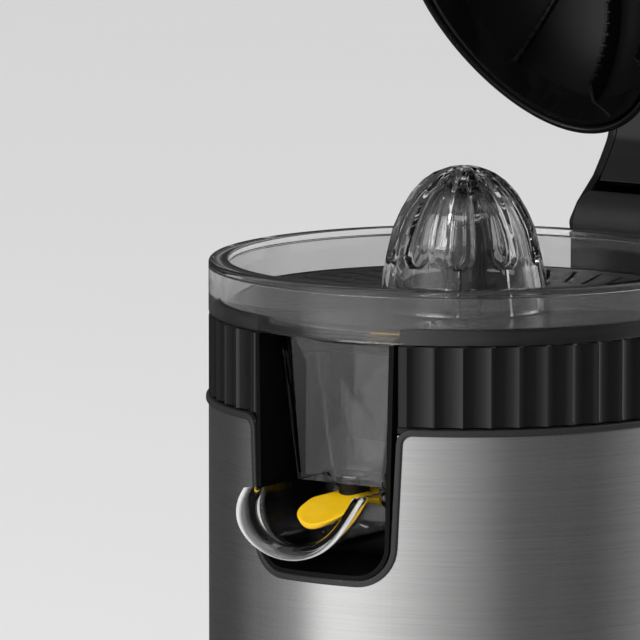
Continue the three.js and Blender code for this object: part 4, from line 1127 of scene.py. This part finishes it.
def arm_shell():
    """The arm's moulding: fork cheeks, a hood over the hinge and the spine over the head."""
    outline = rounded([
        (-11, 0), (-14, 22), (-11, 44), (0, 61), (16, 70), (40, SPINE_TOP), (SPINE_END, SPINE_TOP - 4),
        (SPINE_END, SPINE_LOW), (44, SPINE_LOW), (27, 44), (16, 31), (13, 23.5), (10.5, 16), (9, 2),
        (6, -7), (0, -9),
    ], [8, 30, 22, 16, 18, 30, 1.5, 1, 8, 12, 12, 6, 6, 8, 4, 5], 5)
    shell = across_arm(outline[::-1])
    inner = rounded([
        (-8, 8), (-11, 22), (-8, 42), (3, 58), (17, 67), (40, SPINE_TOP - 3), (SPINE_END - 3, SPINE_TOP - 7),
        (SPINE_END - 3, SPINE_LOW + 3), (46, SPINE_LOW + 3), (20, 30), (20, 8),
    ], 3, 3)
    pocket = skin([[((arm_half(a) - CHEEK) * side, -a, b) for a, b in inner] for side in (-1, 1)])
    inside = ARM_HALF - CHEEK
    cuts = [pocket, block((-inside, -30, -20), (inside, 30, 8.1)), bar(3.3, (-40, 0, 0), (40, 0, 0)),
            bar(KNUCKLE + 1, (-inside, 0, 0), (inside, 0, 0), 64)]
    spots = [-HEAD_CENTRE + s for s in HEAD_SCREWS]
    cuts += [bar(SCREW_BORE, (0, y, 30), (0, y, SPINE_TOP - 6), 24) for y in spots]
    piece("arm_moulding", carve(shell, *cuts), "arm", "gloss_black", ["arm_body"], ARM, edge=0.5)


def arm_underside():
    """The cover under the arm's root, between its cheeks."""
    radii = [0, 6, 12, 12, 0]
    line = rounded([(9.5, 13.5), (13, 23.5), (16, 31), (27, 44), (44, SPINE_LOW)], radii, 5, closed=False)
    back = rounded([(6.5, 14.5), (10, 24.5), (13.2, 33), (25, 46.5), (44, SPINE_LOW + 2.6)],
                   radii, 5, closed=False)
    outline = line + back[::-1]
    rings = [[((arm_half(a) - CHEEK - SEAT_GAP) * side, -a, b) for a, b in outline] for side in (-1, 1)]
    form = carve(skin(rings), bar(KNUCKLE + 1, (-40, 0, 0), (40, 0, 0), 64))
    piece("arm_underside", form, "arm", "gloss_black", ["arm_liner"], ARM, edge=0.3)


def arm_grip():
    """The handle at the arm's end: satin, crowned, with finger ridges beneath."""
    top, low, end = 68.3, 42.3, 164.7
    outline = rounded([(end, top), (197, 63.3), (ARM_REACH, 57.3), (ARM_REACH - 1, low), (177.4, low + 2),
                       (173.4, 52.3), (end, 55.3)], [1, 8, 7, 6, 6, 4, 1], 6)
    form = across_arm(outline[::-1], 4.0, 6)
    places = [-184 - 4.6 * k for k in range(4)]
    grooves = [bar(1.1, (-30, y, low + 0.2), (30, y, low - 0.1), 20) for y in places]
    piece("handle_grip", carve(form, *grooves), "arm", "satin_black", ["arm_grip"], ARM, edge=0.4)


# ---- everything --------------------------------------------------------------------------
for make in (base_pan, foot_pads, steel_sleeve, trim_frame, fluted_collar, motor_deck_top, bay_recess,
             hinge_tower, bowl_moulding, spout_moulding, drip_tongue, drip_plug, strainer_disc, reamers,
             head_dome, cup_lining, arm_shell, arm_underside, arm_grip):
    make()

for node in frame["nodes"].values():
    slot = node.data.materials[0].name
    node.data.materials[0] = SLOT_FINISHES[slot]

# ---- studio ------------------------------------------------------------------------------
# Brightness of the room at azimuths from the camera's side, degrees, positive to the right.
ROOM = [(-180, 0.06), (-125, 0.07), (-92, 0.28), (-81, 0.36), (-66, 1.2), (-45, 1.05), (-13, 0.5), (20, 0.13),
        (60, 0.08), (90, 0.24), (125, 0.9), (160, 0.2), (180, 0.06)]


def studio():
    """A pale floor, and a room that is bright at the left and falls away to the right."""
    form = slab([(-20, -20), (20, -20), (20, 20), (-20, 20)], -0.01, 0)
    mesh = bpy.data.meshes.new("floor")
    mesh.from_pydata(form.points, [], form.faces)
    floor = bpy.data.objects.new("floor", mesh)
    bpy.context.scene.collection.objects.link(floor)
    paper = Material("floor_paper", Roughness=0.9)
    paper.set("Base Color", paper.mix(paper.noise(400, 2), grey(0.8), grey(0.82)))
    mesh.materials.append(paper.owner)
    floor.visible_glossy = False

    world = bpy.data.worlds.new("room")
    bpy.context.scene.world = world
    room = Finish(world)
    direction = room.node("TexCoord", output="Generated")
    parts = [room.node("SeparateXYZ", {}, [direction], output=axis) for axis in ("X", "Y", "Z")]
    side = parts[0] * cos(VIEW_TURN) + parts[1] * sin(VIEW_TURN)
    near = parts[0] * sin(VIEW_TURN) - parts[1] * cos(VIEW_TURN)
    turn = room.node("Math", {"operation": "ARCTAN2"}, [side, near])
    peak = max(level for _, level in ROOM)
    stops = [((angle + 180) / 360, level / peak) for angle, level in ROOM]
    level = room.node("ValToRGB", {"stops": stops}, [turn / (2 * pi) + 0.5])
    level = room.mix(room.steps(parts[2], 0.88, 0.96), level, grey(0.02))
    shine = room.node("Background", {}, {"Color": level, "Strength": peak})
    pale = room.node("Background", {}, {"Color": grey(0.86), "Strength": 0.95})
    steep = room.steps(room.node("Math", {"operation": "ABSOLUTE"}, [parts[2]]), 0.3, 0.75)
    inside = room.node("Background", {}, {"Color": room.mix(steep, grey(0.86), grey(0.1)), "Strength": 0.95})
    through = room.node("LightPath", output="Is Transmission Ray")
    glossy = room.node("LightPath", output="Is Glossy Ray")
    plain = room.node("MixShader", {}, [through, pale, inside])
    both = room.node("MixShader", {}, [glossy, plain, shine])
    room.feed(room.tree.nodes["World Output"].inputs["Surface"], both)

    lamp = bpy.data.lights.new("key", "AREA")
    lamp.energy, lamp.size = 28, 1.2
    key = bpy.data.objects.new("key", lamp)
    back = Vector((sin(VIEW_TURN - radians(50)), -cos(VIEW_TURN - radians(50)), 0.75))
    key.location = AXIS + 2.2 * back
    key.rotation_euler = back.to_track_quat("Z", "Y").to_euler()
    key.visible_glossy = False
    bpy.context.scene.collection.objects.link(key)
    bpy.context.scene.view_settings.view_transform = "Standard"


studio()
